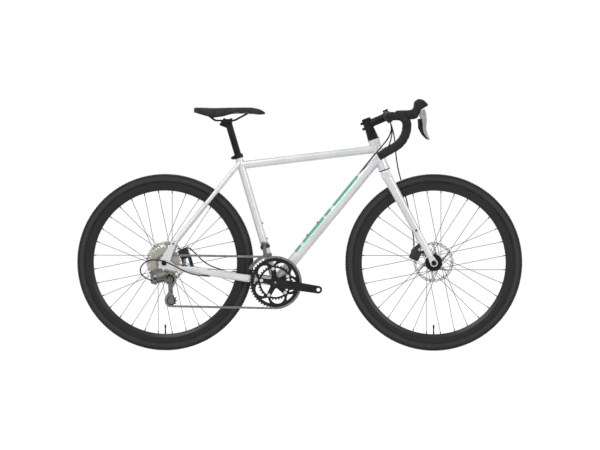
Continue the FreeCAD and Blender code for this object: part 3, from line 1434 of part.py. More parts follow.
def inner_ring():
    """Small ring with a round tab for each bolt on its inside."""
    low = -INNER_RING_LINE - RING_THICKNESS / 2
    high = -INNER_RING_LINE + RING_THICKNESS / 2
    ring = toothed_plate(BB, INNER_RING_TEETH, CRANK_ANGLE, -INNER_RING_LINE, RING_THICKNESS)
    ring = ring.cut(across(BB, INNER_RING_BORE, low, high))
    tabs = [across(bolt, INNER_RING_TAB, low, high) for bolt in ring_bolt_points()]
    holes = [across(bolt, RING_BOLT_RADIUS + SEAT_GAP, low, high) for bolt in ring_bolt_points()]
    return joined([ring] + tabs).cut(holes)


def chainrings():
    return group([outer_ring(), inner_ring()])


def chainring_bolts():
    low = -OUTER_RING_LINE - RING_THICKNESS / 2
    high = -INNER_RING_LINE + RING_THICKNESS / 2
    bolts = []
    for bolt in ring_bolt_points():
        bolts.append(joined([
            across(bolt, RING_BOLT_RADIUS, low, high),
            across(bolt, RING_BOLT_HEAD, low - RING_BOLT_HEAD_HEIGHT, low),
            across(bolt, RING_BOLT_HEAD, high, high + RING_BOLT_HEAD_HEIGHT),
        ]))
    return group(bolts)


def crank_arm(side, angle):
    eye = BB + turned(angle) * CRANK_LENGTH
    inner = side * CRANK_INNER
    outer = side * (CRANK_INNER + CRANK_THICKNESS)
    arm = taper_plate(BB, CRANK_BOSS_RADIUS - 2, eye, CRANK_EYE_RADIUS, inner, outer)
    return arm.cut(across(eye, PEDAL_HOLE_RADIUS, inner, outer))


def right_crank():
    """Right arm, the spider for the rings seated on its boss, and the spindle through the frame."""
    outer = -CRANK_INNER - CRANK_THICKNESS
    low = -OUTER_RING_LINE + RING_THICKNESS / 2
    high = -INNER_RING_LINE - RING_THICKNESS / 2
    boss = across(BB, CRANK_BOSS_RADIUS, outer, -CRANK_BOSS_INNER)
    arm = joined([crank_arm(RIGHT, CRANK_ANGLE), boss])
    socket = across(BB, SPINDLE_RADIUS + SEAT_GAP, outer, -CRANK_BOSS_INNER)
    legs = [taper_plate(BB, SPIDER_ROOT, bolt, SPIDER_EYE, low, high) for bolt in ring_bolt_points()]
    spider = joined([across(BB, CRANK_BOSS_RADIUS + SPIDER_HUB_WALL, low, high)] + legs)
    holes = [across(bolt, RING_BOLT_RADIUS + SEAT_GAP, low, high) for bolt in ring_bolt_points()]
    holes.append(across(BB, CRANK_BOSS_RADIUS + SEAT_GAP, low, high))
    spindle = ring_across(BB, SPINDLE_RADIUS, CRANK_BORE_RADIUS, outer, CRANK_INNER + CRANK_THICKNESS)
    return group([arm.cut(socket), spider.cut(holes), spindle])


def left_crank():
    outer = CRANK_INNER + CRANK_THICKNESS
    boss = across(BB, CRANK_BOSS_RADIUS, CRANK_BOSS_INNER, outer)
    arm = joined([crank_arm(LEFT, CRANK_ANGLE + 180), boss])
    return arm.cut(across(BB, SPINDLE_RADIUS + SEAT_GAP, CRANK_BOSS_INNER, outer))


COG_SPACER_RADIUS = 19.5
LOCKRING_RADIUS = 15.0


def cassette():
    """Freehub body with eight cogs, the spacers between them and the lockring."""
    phases = chain_pins()[1]
    largest_side = COG_SIDE[max(COG_TEETH)]
    smallest_side = COG_SIDE[min(COG_TEETH)]
    start = -REAR_HUB_RIGHT_END - FREE_GAP
    cap = -REAR_HUB_WIDTH / 2 + FREE_GAP
    pieces = [
        across(REAR_AXLE, FREEHUB_RADIUS, start, smallest_side),
        across(REAR_AXLE, COG_SPACER_RADIUS, largest_side, COG_SIDE[COG_TEETH[2]]),
        across(REAR_AXLE, LOCKRING_RADIUS, smallest_side - 2, smallest_side),
        across(REAR_AXLE, HUB_END_RADIUS, cap, smallest_side),
    ]
    for teeth in COG_TEETH:
        phase = phases["cog"] if teeth == CHAIN_COG else 0
        pieces.append(toothed_plate(REAR_AXLE, teeth, phase, COG_SIDE[teeth], COG_THICKNESS))
    return joined(pieces).cut(across(REAR_AXLE, AXLE_DIAMETER / 2 + RUNNING_FIT, cap, start))


# Rear derailleur


CAGE_HALF_GAP = 4.9
CAGE_PLATE = 1.6
CAGE_UPPER_RADIUS = 12.0
CAGE_LOWER_RADIUS = 14.0
CAGE_WAIST = 8.5
P_KNUCKLE_RADIUS = 11.0
P_KNUCKLE_END = -DROPOUT_OUTER + 1.0
RD_BOLT_SIDE = DROPOUT_OUTER
RD_LINK_SIDE = DROPOUT_OUTER + 7.0
RD_EYE_RADIUS = 5.5
RD_EYE_HALF = 5.0
RD_LUG_RADIUS = 6.0
RD_LUG_HALF = 9.4
RD_PIN_RADIUS = 2.0
RD_LINK_SPACING = 12.0
RD_WEB = 13.0
RD_PIVOT_AXIS = V(0, math.sin(math.radians(RD_SLANT)), math.cos(math.radians(RD_SLANT)))
RD_INWARD = V(0, math.cos(math.radians(RD_SLANT)), -math.sin(math.radians(RD_SLANT)))
RD_START = at_side(REAR_AXLE + RD_LINK_START, -RD_LINK_SIDE)
RD_TURN = math.radians(RD_REST_TURN)
RD_REST = V(1, 0, 0) * math.cos(RD_TURN) + RD_INWARD * math.sin(RD_TURN)
RD_END = RD_START + RD_REST * RD_LINK_LENGTH
RD_INNER_LINK = V(0, 0, -RD_LINK_SPACING)
RD_BAR_HALF = 3.2
RD_KNEE_BACK = 2.0
RD_KNEE_DROP = 8.0


def on_pivots(shape, origin, forward):
    """Place a shape made along X and across Y so that its Y lies on the link pivots."""
    turn = FreeCAD.Rotation(forward, RD_PIVOT_AXIS, forward.cross(RD_PIVOT_AXIS), "XYZ")
    placed = shape.copy()
    placed.Placement = FreeCAD.Placement(origin, turn)
    return placed


def link_pins():
    return [across(spot, RD_PIN_RADIUS, -RD_LUG_HALF, RD_LUG_HALF) for spot in (V(0, 0, 0), RD_INNER_LINK)]


def link_yoke(web_ahead):
    """Lugs above and below both link eyes, with the pins through them and a web behind."""
    eye_clear = RD_EYE_HALF + FREE_GAP
    web = V(web_ahead, 0, -RD_LINK_SPACING / 2)
    pieces = link_pins() + [across(web, RD_LUG_RADIUS, -RD_LUG_HALF, RD_LUG_HALF)]
    for sign in (-1, 1):
        for spot in (V(0, 0, 0), RD_INNER_LINK):
            pieces.append(taper_plate(spot, RD_LUG_RADIUS, web, RD_LUG_RADIUS,
                                      sign * eye_clear, sign * RD_LUG_HALF))
    return joined(pieces)


def rear_derailleur_knuckle():
    """Bracket on the hanger bolt that carries the link pivots."""
    bolt = REAR_AXLE + B_BOLT
    outer = -RD_BOLT_SIDE - FREE_GAP - 2 * RD_EYE_HALF
    web = RD_START - V(RD_WEB, 0, 0) + RD_INWARD * RD_LINK_SPACING / 2
    knee = V(web.x - RD_KNEE_BACK, 0, bolt.z - RD_KNEE_DROP)
    inner = -RD_BOLT_SIDE - FREE_GAP
    pieces = [
        taper_plate(bolt, HANGER_RADIUS, knee, RD_LUG_RADIUS, inner, outer),
        taper_plate(knee, RD_LUG_RADIUS, web, RD_LUG_RADIUS, inner, outer),
        across(bolt, B_BOLT_RADIUS, -REAR_HUB_WIDTH / 2, outer),
        on_pivots(link_yoke(-RD_WEB), RD_START, V(1, 0, 0)),
    ]
    return joined(pieces)


def rear_derailleur_link(start):
    """One of the two parallel links, with an eye at each end and a slim bar that clears its pair."""
    ends = (V(0, 0, 0), V(RD_LINK_LENGTH, 0, 0))
    pieces = [across(spot, RD_EYE_RADIUS, -RD_EYE_HALF, RD_EYE_HALF) for spot in ends]
    pieces.append(taper_plate(ends[0], RD_BAR_HALF, ends[1], RD_BAR_HALF, -RD_EYE_HALF, RD_EYE_HALF))
    bores = [across(spot, RD_PIN_RADIUS + RUNNING_FIT, -RD_EYE_HALF, RD_EYE_HALF) for spot in ends]
    return on_pivots(joined(pieces).cut(bores), start, RD_REST)


def cage_plate(y_from, y_to):
    """Plate with a round end at each jockey wheel and a slim waist."""
    return joined([
        across(UPPER, CAGE_UPPER_RADIUS, y_from, y_to),
        across(LOWER, CAGE_LOWER_RADIUS, y_from, y_to),
        taper_plate(UPPER, CAGE_WAIST, LOWER, CAGE_WAIST, y_from, y_to),
    ])


def rear_derailleur_cage():
    """Knuckle at the end of the links with the two cage plates and the jockey bolts."""
    outer_plate = CHAIN_SIDE - CAGE_HALF_GAP
    inner_plate = CHAIN_SIDE + CAGE_HALF_GAP
    far = outer_plate - CAGE_PLATE
    near = inner_plate + CAGE_PLATE
    web = RD_END + V(RD_WEB, 0, 0) + RD_INWARD * RD_LINK_SPACING / 2
    pieces = [
        cage_plate(far, outer_plate),
        cage_plate(inner_plate, near),
        across(UPPER, JOCKEY_BOLT_RADIUS, far, near),
        across(LOWER, JOCKEY_BOLT_RADIUS, far, near),
        across(UPPER, P_KNUCKLE_RADIUS, far, P_KNUCKLE_END),
        rod(at_side(UPPER, P_KNUCKLE_END + RD_LUG_RADIUS), web, RD_LUG_RADIUS),
        on_pivots(link_yoke(RD_WEB), RD_END, V(1, 0, 0)),
    ]
    return joined(pieces)


def jockey_wheel(name, centre):
    phase = chain_pins()[1][name]
    half = CAGE_HALF_GAP - FREE_GAP
    body = joined([
        toothed_plate(centre, JOCKEY_TEETH, phase, CHAIN_SIDE, JOCKEY_THICKNESS),
        across(centre, 3 * JOCKEY_BOLT_RADIUS, CHAIN_SIDE - half, CHAIN_SIDE + half),
    ])
    return body.cut(across(centre, JOCKEY_BOLT_RADIUS + RUNNING_FIT, CHAIN_SIDE - half, CHAIN_SIDE + half))


# Front derailleur


FD_CENTRE = seat_point(FD_CLAMP_HEIGHT)
FD_CLAMP_WALL = 3.5
FD_CLAMP_LENGTH = 14.0
FD_BLOCK_HALF = 13.0
FD_LUG_THICKNESS = 4.0
FD_PIVOT_SIDE = -45.0
FD_PIVOT_RISE = 12.0
FD_PIVOT_RADIUS = 2.5
FD_EYE_RADIUS = 5.0
FD_ARM_HALF = 6.0
FD_BLOCK_BELOW = 8.0
FD_BLOCK_ABOVE = 6.0
FD_EYE_ROOM = 1.0
FD_TAIL_RADIUS = 3.0
FD_TAIL_INSET = 2.0
FD_ROOF_DROP = 10.0
FD_ROOF_THICKNESS = 5.0
FD_STRAP_HALF = 2.0
FD_PIVOT = V(FD_CENTRE.x, FD_PIVOT_SIDE, FD_CENTRE.z + FD_PIVOT_RISE)


def front_derailleur_body():
    """Clamp on the seat tube with a block, two lugs and the pivot pin of the cage."""
    half = FD_CLAMP_LENGTH / 2
    low = seat_point(FD_CLAMP_HEIGHT - half)
    high = seat_point(FD_CLAMP_HEIGHT + half)
    x = FD_PIVOT.x
    z = FD_PIVOT.z
    inside = FD_PIVOT_SIDE + FD_EYE_RADIUS + FD_EYE_ROOM
    front = V(x + FD_BLOCK_HALF, FD_PIVOT_SIDE, z)
    back = V(x - FD_BLOCK_HALF, FD_PIVOT_SIDE, z)
    pieces = [
        rod(low, high, SEAT_TUBE_RADIUS + SEAT_GAP + FD_CLAMP_WALL),
        box_across(back.x, front.x, inside, 0, z - FD_BLOCK_BELOW, z + FD_BLOCK_ABOVE),
        rod(back, front, FD_PIVOT_RADIUS),
    ]
    for start in (back.x, front.x - FD_LUG_THICKNESS):
        outside = FD_PIVOT_SIDE - FD_EYE_RADIUS
        pieces.append(box_across(start, start + FD_LUG_THICKNESS, outside, inside,
                                 z - FD_BLOCK_ABOVE, z + FD_BLOCK_ABOVE))
    bore = rod(low - SEAT_UP * 2 * half, high + SEAT_UP * 2 * half, SEAT_TUBE_RADIUS + SEAT_GAP)
    return joined(pieces).cut(bore)


def front_derailleur_cage():
    """Two curved plates either side of the chain, hung from the pivot pin."""
    wedge = [BB] + [BB + turned(angle) * 2 * FD_CAGE_OUTER_RADIUS
                    for angle in (FD_CAGE_FRONT, (FD_CAGE_FRONT + FD_CAGE_REAR) / 2, FD_CAGE_REAR)]
    inner = -OUTER_RING_LINE + FD_CAGE_GAP / 2
    outer = -OUTER_RING_LINE - FD_CAGE_GAP / 2
    sector = plate(wedge, outer - 2 * FD_PLATE, inner + 2 * FD_PLATE)
    pieces = []
    for start, end in ((inner, inner + FD_PLATE), (outer - FD_PLATE, outer)):
        ring = ring_across(BB, FD_CAGE_OUTER_RADIUS, FD_CAGE_INNER_RADIUS, start, end)
        pieces.append(ring.common(sector))
    tail = BB + turned(FD_CAGE_REAR - FD_TAIL_INSET) * (FD_CAGE_INNER_RADIUS + FD_CAGE_OUTER_RADIUS) / 2
    pieces.append(across(tail, FD_TAIL_RADIUS, outer - FD_PLATE, inner + FD_PLATE))
    x = FD_PIVOT.x
    eye_half = FD_BLOCK_HALF - FD_LUG_THICKNESS - FREE_GAP
    roof = BB.z + FD_CAGE_OUTER_RADIUS - FD_ROOF_DROP
    eye_back = FD_PIVOT - V(eye_half, 0, 0)
    eye_front = FD_PIVOT + V(eye_half, 0, 0)
    pieces += [
        box_across(x - FD_ARM_HALF, x + FD_BLOCK_HALF, outer - FD_PLATE, inner + FD_PLATE,
                   roof, roof + FD_ROOF_THICKNESS),
        box_across(x - FD_ARM_HALF, x + FD_ARM_HALF, FD_PIVOT_SIDE - FD_STRAP_HALF,
                   FD_PIVOT_SIDE + FD_STRAP_HALF, roof, FD_PIVOT.z),
        rod(eye_back, eye_front, FD_EYE_RADIUS),
    ]
    return joined(pieces).cut(rod(eye_back, eye_front, FD_PIVOT_RADIUS + RUNNING_FIT))


# Seatpost and saddle


CRADLE_HALF_SIDE = 27.0
CRADLE_HEIGHT = 9.0
CRADLE_BACK = 26.0
CRADLE_AHEAD = 18.0
CLAMP_HEIGHT = 6.0
CLAMP_SPLIT = 1.0
CLAMP_BOLT_SPREAD = 14.0
POST_ARM_RADIUS = 6.0
RAIL_REACH = SEAT_TUBE_LENGTH + SEATPOST_EXTENSION
CLAMP_X = seat_point(RAIL_REACH).x
RAIL_HEIGHT = seat_point(RAIL_REACH).z
SADDLE_TOP = RAIL_HEIGHT + SADDLE_STACK
SADDLE_REAR = CLAMP_X - SADDLE_SETBACK
CRADLE_FLOOR = RAIL_HEIGHT - CLAMP_SPLIT / 2 - CRADLE_HEIGHT
# Each section of the saddle: distance from the rear, half width, top and skirt below the top line.
SADDLE_SECTIONS = (
    (0.0, 30.0, 3.0, 20.0),
    (8.0, 50.0, 0.5, 22.0),
    (45.0, 71.0, 0.5, 33.0),
    (75.0, 72.5, 1.5, 40.5),
    (110.0, 58.0, 1.0, 36.0),
    (148.0, 36.0, 0.3, 26.0),
    (190.0, 23.5, 0.0, 24.5),
    (226.0, 20.0, 0.3, 26.0),
    (256.0, 18.0, 6.0, 29.0),
    (274.0, 13.0, 15.0, 27.5),
    (280.0, 7.0, 20.0, 26.5),
)
SADDLE_CHANNEL = 2.5
# Shape of each saddle section, as shares of its half width and of its height.
PAD_FLOOR = 0.88
PAD_WAIST_RISE = 0.45
PAD_SHOULDER = 0.9
PAD_SHOULDER_RISE = 0.75
PAD_CROWN = 0.62
PAD_CROWN_DROP = 0.06
PAD_CHANNEL = 0.25
SHELL_EDGE = 0.86
POST_NECK_WALL = 2.0
POST_BORE_END = 60.0
RAIL_NOSE = 211.0
RAIL_NOSE_SIDE = 13.0
RAIL_NOSE_DROP = 24.0
RAIL_FLAT_AHEAD = 26.0
RAIL_FLAT_BACK = 49.0
RAIL_TAIL_BACK = 72.0
RAIL_TAIL_SPREAD = 3.0
RAIL_TAIL_DROP = 35.0


def seatpost():
    """Hollow post with the yoke that carries the saddle cradle."""
    low = seat_point(SEAT_TUBE_LENGTH - SEATPOST_INSERTION)
    high = seat_point(RAIL_REACH)
    bore_top = seat_point(RAIL_REACH - POST_BORE_END)
    neck = seat_point((CRADLE_FLOOR - BB.z) / SEAT_UP.z - 2 * POST_ARM_RADIUS)
    neck_radius = SEATPOST_RADIUS - POST_NECK_WALL
    arm = V(CLAMP_X - CRADLE_BACK, 0, CRADLE_FLOOR - POST_ARM_RADIUS + CLAMP_SPLIT)
    yoke = taper_plate(neck, neck_radius, arm, POST_ARM_RADIUS, -neck_radius, neck_radius)
    room = 2 * CRADLE_BACK + SEATPOST_RADIUS
    roof = box_across(CLAMP_X - room, CLAMP_X + room, -room, room, CRADLE_FLOOR, SADDLE_TOP)
    bore = rod(low, bore_top, SEATPOST_RADIUS - SEATPOST_WALL)
    return joined([rod(low, high, SEATPOST_RADIUS), yoke]).cut([bore, roof])


def rail_points(side):
    """Route of one saddle rail from the nose to the rear of the shell."""
    return [
        V(SADDLE_REAR + RAIL_NOSE, side * RAIL_NOSE_SIDE, SADDLE_TOP - RAIL_NOSE_DROP),
        V(CLAMP_X + RAIL_FLAT_AHEAD, side * RAIL_SIDE, RAIL_HEIGHT),
        V(CLAMP_X - RAIL_FLAT_BACK, side * RAIL_SIDE, RAIL_HEIGHT),
        V(CLAMP_X - RAIL_TAIL_BACK, side * (RAIL_SIDE + RAIL_TAIL_SPREAD), SADDLE_TOP - RAIL_TAIL_DROP),
    ]


RAIL_BENDS = [30.0, 20.0]


def rail(side):
    return pipe(rail_points(side), RAIL_RADIUS, RAIL_BENDS)


def clamp_bolts():
    bolts = []
    floor = CRADLE_FLOOR
    top = RAIL_HEIGHT + CLAMP_SPLIT / 2 + CLAMP_HEIGHT
    for ahead in (-CLAMP_BOLT_SPREAD, CLAMP_BOLT_SPREAD):
        start = V(CLAMP_X + ahead, 0, floor)
        end = V(CLAMP_X + ahead, 0, top)
        head = V(CLAMP_X + ahead, 0, top + BOLT_HEAD_HEIGHT)
        bolts.append(joined([rod(start, end, BOLT_RADIUS), rod(end, head, BOLT_HEAD_RADIUS)]))
    return bolts


def saddle_clamp():
    """Cradle under the rails, clamp above them and two bolts."""
    split = CLAMP_SPLIT / 2
    side = CRADLE_HALF_SIDE
    low = box_across(CLAMP_X - CRADLE_BACK, CLAMP_X + CRADLE_AHEAD, -side, side,
                     CRADLE_FLOOR, RAIL_HEIGHT - split)
    high = box_across(CLAMP_X - CRADLE_AHEAD, CLAMP_X + CRADLE_AHEAD, -side, side,
                      RAIL_HEIGHT + split, RAIL_HEIGHT + split + CLAMP_HEIGHT)
    reach = V(2 * CRADLE_BACK, 0, 0)
    cuts = []
    for y in (-RAIL_SIDE, RAIL_SIDE):
        middle = V(CLAMP_X, y, RAIL_HEIGHT)
        cuts.append(rod(middle - reach, middle + reach, RAIL_RADIUS + SEAT_GAP))
    for ahead in (-CLAMP_BOLT_SPREAD, CLAMP_BOLT_SPREAD):
        spot = V(CLAMP_X + ahead, 0, CRADLE_FLOOR)
        cuts.append(rod(spot, spot + V(0, 0, 3 * CRADLE_HEIGHT), BOLT_RADIUS + SEAT_GAP))
    return group([low.cut(cuts), high.cut(cuts)] + clamp_bolts())


def saddle_places():
    """Sections as place along X, half width, top height and bottom height."""
    share = SADDLE_LENGTH / SADDLE_SECTIONS[-1][0]
    widen = SADDLE_WIDTH / (2 * max(section[1] for section in SADDLE_SECTIONS))
    return [(SADDLE_REAR + back * share, half * widen, SADDLE_TOP - drop, SADDLE_TOP - skirt)
            for back, half, drop, skirt in SADDLE_SECTIONS]


def pad_section(x, half, top, bottom):
    """Crowned section with drawn-in sides and a shallow channel along the middle."""
    height = top - bottom
    flank = [
        (PAD_FLOOR * half, bottom),
        (half, bottom + PAD_WAIST_RISE * height),
        (PAD_SHOULDER * half, bottom + PAD_SHOULDER_RISE * height),
        (PAD_CROWN * half, top - PAD_CROWN_DROP * height),
        (PAD_CHANNEL * half, top),
    ]
    points = [V(x, -y, z) for y, z in flank]
    points.append(V(x, 0, top - SADDLE_CHANNEL))
    points += [V(x, y, z) for y, z in reversed(flank)]
    edges = [Part.Arc(*points[start:start + 3]) for start in range(0, len(points) - 1, 2)]
    edges.append(Part.LineSegment(points[-1], points[0]))
    return Part.Wire([edge.toShape() for edge in edges])


def saddle_pad():
    sections = []
    for x, half, top, bottom in saddle_places():
        sections.append(pad_section(x, half, top, bottom + SADDLE_SHELL))
    return Part.makeLoft(sections, True, False)


def saddle_shell():
    sections = []
    for x, half, top, bottom in saddle_places():
        seat = bottom + SADDLE_SHELL - SEAT_GAP
        edge = SHELL_EDGE * half
        corners = [V(x, -edge, bottom), V(x, edge, bottom), V(x, edge, seat), V(x, -edge, seat)]
        sections.append(Part.makePolygon(corners + corners[:1]))
    return largest(Part.makeLoft(sections, True, True).cut(saddle_pad()))


def saddle_rails():
    held = [saddle_shell(), saddle_pad()]
    return group([largest(rail(side).cut(held)) for side in (RIGHT, LEFT)])


# Cables


# Routes chosen by hand, each point as its place ahead, to the left and up.
SHIFT_ROUTE = (
    (355.5, -74, 914.3), (367, -64, 888), (356, -46, 846), (323, -35, 806), (284, -29, 762),
    (250, -17, 718), (237, -9, 700),
)
REAR_BRAKE_ROUTE = (
    (355.5, -92, 914.3), (367, -78, 884), (364, -48, 842), (351, -14, 806), (348, 26, 772),
    (312, 36, 735), (275, 32, 695), (238, 8, 656),
)
FRONT_BRAKE_ROUTE = (
    (355.5, 94, 914.3), (368, 82, 884), (378, 66, 832), (382, 60, 772), (391, 60, 714), (407, 63, 657),
    (424, 66, 598), (438, 68, 538), (447, 67, 478), (453.7, 62, 441), (453.7, 61.4, 414.3),
)
DERAILLEUR_ROUTE = (
    (-352, -58, 298), (-398, -76, 300), (-448, -89, 316), (-498, -94, 345), (-548, -95, 364),
    (-598, -94, 362), (-628, -92, 330), (-616, -90, 294), (-578, -87, 281),
)
REAR_CALIPER_ROUTE = (
    (-262, 46, 300), (-300, 53, 316), (-345, 60, 328), (-385, 70, 350), (-414, 76.6, 381),
    (-440.2, 77.6, 403.5),
)


def housing(route, held_by):
    """Cable housing along its route, trimmed where it enters a tube."""
    points = [V(*point) for point in route]
    print("housing %.0f mm long" % rounded_path(points).Length)
    return largest(pipe(points, HOUSING_RADIUS).cut(held_by))


def tape_clearance():
    """Room that the housings leave round the taped top of the bar."""
    return across(BAR, TAPE_RADIUS + FREE_GAP, -BAR_HALF_WIDTH, BAR_HALF_WIDTH)


def control_cables():
    """Shift housings from under both sides of the tape, and the rear brake housing, to the down tube."""
    other = [(ahead, -left, up) for ahead, left, up in SHIFT_ROUTE]
    held_by = [down_tube_outside(), tape_clearance()]
    return group(housing(route, held_by) for route in (SHIFT_ROUTE, other, REAR_BRAKE_ROUTE))


def rear_cables():
    """Derailleur housing looped out of the right chainstay and brake housing out of the left one."""
    return group([
        housing(DERAILLEUR_ROUTE, [chainstay_body(RIGHT), rear_derailleur_knuckle()]),
        housing(REAR_CALIPER_ROUTE, [chainstay_body(LEFT)]),
    ])


def front_brake_cable():
    """Housing from under the left tape, beside the head tube and the fork leg, to the front caliper."""
    return housing(FRONT_BRAKE_ROUTE, [tape_clearance()])


# Export


def nodes():
    """Every sub-part of the bicycle by name."""
    front_lines = spoke_lines(FRONT_AXLE, FRONT_FLANGE_LEFT, FRONT_FLANGE_RIGHT)
    rear_lines = spoke_lines(REAR_AXLE, REAR_FLANGE_LEFT, REAR_FLANGE_RIGHT)
    front_end = FRONT_HUB_WIDTH / 2 - FREE_GAP
    rear_end = REAR_HUB_WIDTH / 2 - FREE_GAP
    parts = frame_tubes()
    for make in (
        frame_bearings, seat_clamp, frame_bolts, rear_caliper, front_derailleur_body,
        rear_derailleur_knuckle, chain, control_cables, rear_cables,
        seatpost, saddle_clamp, saddle_rails, saddle_shell, saddle_pad,
        fork_crown, fork_legs, headset_spacers, cockpit_bolts, handlebar, bar_tape,
        lever_hoods, front_caliper, front_brake_cable, right_crank, left_crank, chainrings, chainring_bolts,
        cassette, rear_derailleur_cage, front_derailleur_cage,
    ):
        parts[make.__name__] = make()
    parts["stem"] = group([stem_body(), stem_faceplate()])
    parts["rear_derailleur_outer_link"] = rear_derailleur_link(RD_START)
    parts["rear_derailleur_inner_link"] = rear_derailleur_link(RD_START + RD_INWARD * RD_LINK_SPACING)
    parts["rear_axle"] = thru_axle(REAR_AXLE, DROPOUT_OUTER)
    parts["front_axle"] = thru_axle(FRONT_AXLE, FORK_TIP_OUTER)
    parts["front_tyre"] = tyre(FRONT_AXLE)
    parts["front_rim"] = rim(FRONT_AXLE, front_lines)
    parts["front_spokes"] = spokes(front_lines)
    parts["front_hub"] = hub(FRONT_AXLE, front_lines, FRONT_FLANGE_LEFT, FRONT_FLANGE_RIGHT,
                             front_end, front_end, FRONT_ROTOR_SIDE)
    parts["front_rotor"] = rotor(FRONT_AXLE, FRONT_ROTOR_SIDE)
    parts["rear_tyre"] = tyre(REAR_AXLE)
    parts["rear_rim"] = rim(REAR_AXLE, rear_lines)
    parts["rear_spokes"] = spokes(rear_lines)
    parts["rear_hub"] = hub(REAR_AXLE, rear_lines, REAR_FLANGE_LEFT, REAR_FLANGE_RIGHT,
                            rear_end, REAR_HUB_RIGHT_END, REAR_ROTOR_SIDE)
    parts["rear_rotor"] = rotor(REAR_AXLE, REAR_ROTOR_SIDE)
    parts["upper_jockey_wheel"] = jockey_wheel("upper", UPPER)
    parts["lower_jockey_wheel"] = jockey_wheel("lower", LOWER)
    parts["front_caliper_arm"] = caliper_arm(FRONT_AXLE, FRONT_CALIPER_ANGLE, FRONT_ROTOR_SIDE,
                                             FRONT_ARM_ANGLE)
    parts["rear_caliper_arm"] = caliper_arm(REAR_AXLE, REAR_CALIPER_ANGLE, REAR_ROTOR_SIDE,
                                            REAR_ARM_ANGLE)
    for name, side in (("right", RIGHT), ("left", LEFT)):
        parts[name + "_brake_lever"] = brake_lever(side)
        parts[name + "_shift_paddle"] = shift_paddle(side)
    return parts


def main():
    os.makedirs("parts", exist_ok=True)
    for name, shape in nodes().items():
        shape.exportStep("parts/" + name + ".step")


if __name__ == "__main__":
    main()
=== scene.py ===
import bmesh
import bpy
import json
import math
from mathutils import Matrix, Vector


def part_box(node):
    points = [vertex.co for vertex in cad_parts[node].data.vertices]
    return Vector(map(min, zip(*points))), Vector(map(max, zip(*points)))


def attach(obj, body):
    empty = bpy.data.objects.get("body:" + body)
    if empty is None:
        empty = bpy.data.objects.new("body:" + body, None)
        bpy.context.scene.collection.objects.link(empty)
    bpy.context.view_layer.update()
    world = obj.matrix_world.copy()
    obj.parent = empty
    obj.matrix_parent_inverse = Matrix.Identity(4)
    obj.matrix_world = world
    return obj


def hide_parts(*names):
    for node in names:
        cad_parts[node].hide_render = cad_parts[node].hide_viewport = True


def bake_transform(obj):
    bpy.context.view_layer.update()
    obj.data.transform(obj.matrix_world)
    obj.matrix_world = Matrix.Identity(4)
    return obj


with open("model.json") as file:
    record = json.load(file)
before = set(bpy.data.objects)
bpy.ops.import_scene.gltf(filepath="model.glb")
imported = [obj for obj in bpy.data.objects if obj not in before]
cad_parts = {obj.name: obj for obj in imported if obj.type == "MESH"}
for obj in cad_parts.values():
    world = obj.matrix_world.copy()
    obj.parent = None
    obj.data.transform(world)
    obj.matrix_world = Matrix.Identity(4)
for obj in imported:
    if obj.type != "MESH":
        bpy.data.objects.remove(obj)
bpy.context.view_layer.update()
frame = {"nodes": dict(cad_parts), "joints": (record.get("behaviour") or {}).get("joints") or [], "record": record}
nodes = frame["nodes"]
joints = {joint["name"]: joint for joint in frame["joints"]}

# Places taken from the frame, in metres.
REAR_AXLE = Vector(joints["rear_wheel_spin"]["pos_m"])
FRONT_AXLE = Vector(joints["front_wheel_spin"]["pos_m"])
BOTTOM_BRACKET = Vector(joints["crank_spin"]["pos_m"])
ACROSS = Vector((0, 1, 0))

# Camera: where it stands, what it aims at, and the width of the view there.
CAMERA_PLACE = Vector((0.30, -12.6, 0.88))
CAMERA_AIM = Vector((0.0024, 0.0, 0.4979))
VIEW_WIDTH = 2.374
SENSOR = 36.0


def stand_facing(name, data, place, target):
    """Object for a camera or a lamp that stands at a place and faces a target."""
    holder = bpy.data.objects.new(name, data)
    holder.location = place
    holder.rotation_euler = (target - place).to_track_quat("-Z", "Y").to_euler()
    bpy.context.scene.collection.objects.link(holder)
    return holder


def make_camera():
    camera = bpy.data.cameras.new("camera")
    camera.sensor_width = SENSOR
    camera.lens = SENSOR * (CAMERA_AIM - CAMERA_PLACE).length / VIEW_WIDTH
    bpy.context.scene.camera = stand_facing("camera", camera, CAMERA_PLACE, CAMERA_AIM)


# Materials

# Most values of a noise texture lie between these two.
NOISE_LOW = 0.3
NOISE_HIGH = 0.7
GRAIN_DETAIL = 2.0
COAT_ROUGHNESS = 0.12
RING_DETAIL = 4.0
RING_BUMP = 0.15
RING_DEPTH = 0.0001


def new_material(name):
    material = bpy.data.materials.new(name)
    material.use_nodes = True
    tree = material.node_tree
    return material, tree, tree.nodes["Principled BSDF"]


def add_node(tree, kind, **settings):
    node = tree.nodes.new(kind)
    for key, value in settings.items():
        setattr(node, key, value)
    return node


def object_coordinates(tree):
    """Object coordinates in metres, which lie still on a moving piece."""
    return add_node(tree, "ShaderNodeTexCoord").outputs["Object"]


def noise(tree, vector, scale, detail=3.0):
    node = add_node(tree, "ShaderNodeTexNoise")
    node.inputs["Scale"].default_value = scale
    node.inputs["Detail"].default_value = detail
    tree.links.new(vector, node.inputs["Vector"])
    return node.outputs["Fac"]


def ramp(tree, factor, low, high, start=0.35, end=0.65):
    node = add_node(tree, "ShaderNodeValToRGB")
    elements = node.color_ramp.elements
    elements[0].position = start
    elements[1].position = end
    elements[0].color = (*low, 1)
    elements[1].color = (*high, 1)
    tree.links.new(factor, node.inputs["Fac"])
    return node.outputs["Color"]


def spread(tree, factor, low, high):
    """Noise spread over the range from low to high, and held at its ends."""
    node = add_node(tree, "ShaderNodeMapRange")
    node.inputs["From Min"].default_value = NOISE_LOW
    node.inputs["From Max"].default_value = NOISE_HIGH
    node.inputs["To Min"].default_value = low
    node.inputs["To Max"].default_value = high
    tree.links.new(factor, node.inputs["Value"])
    return node.outputs["Result"]


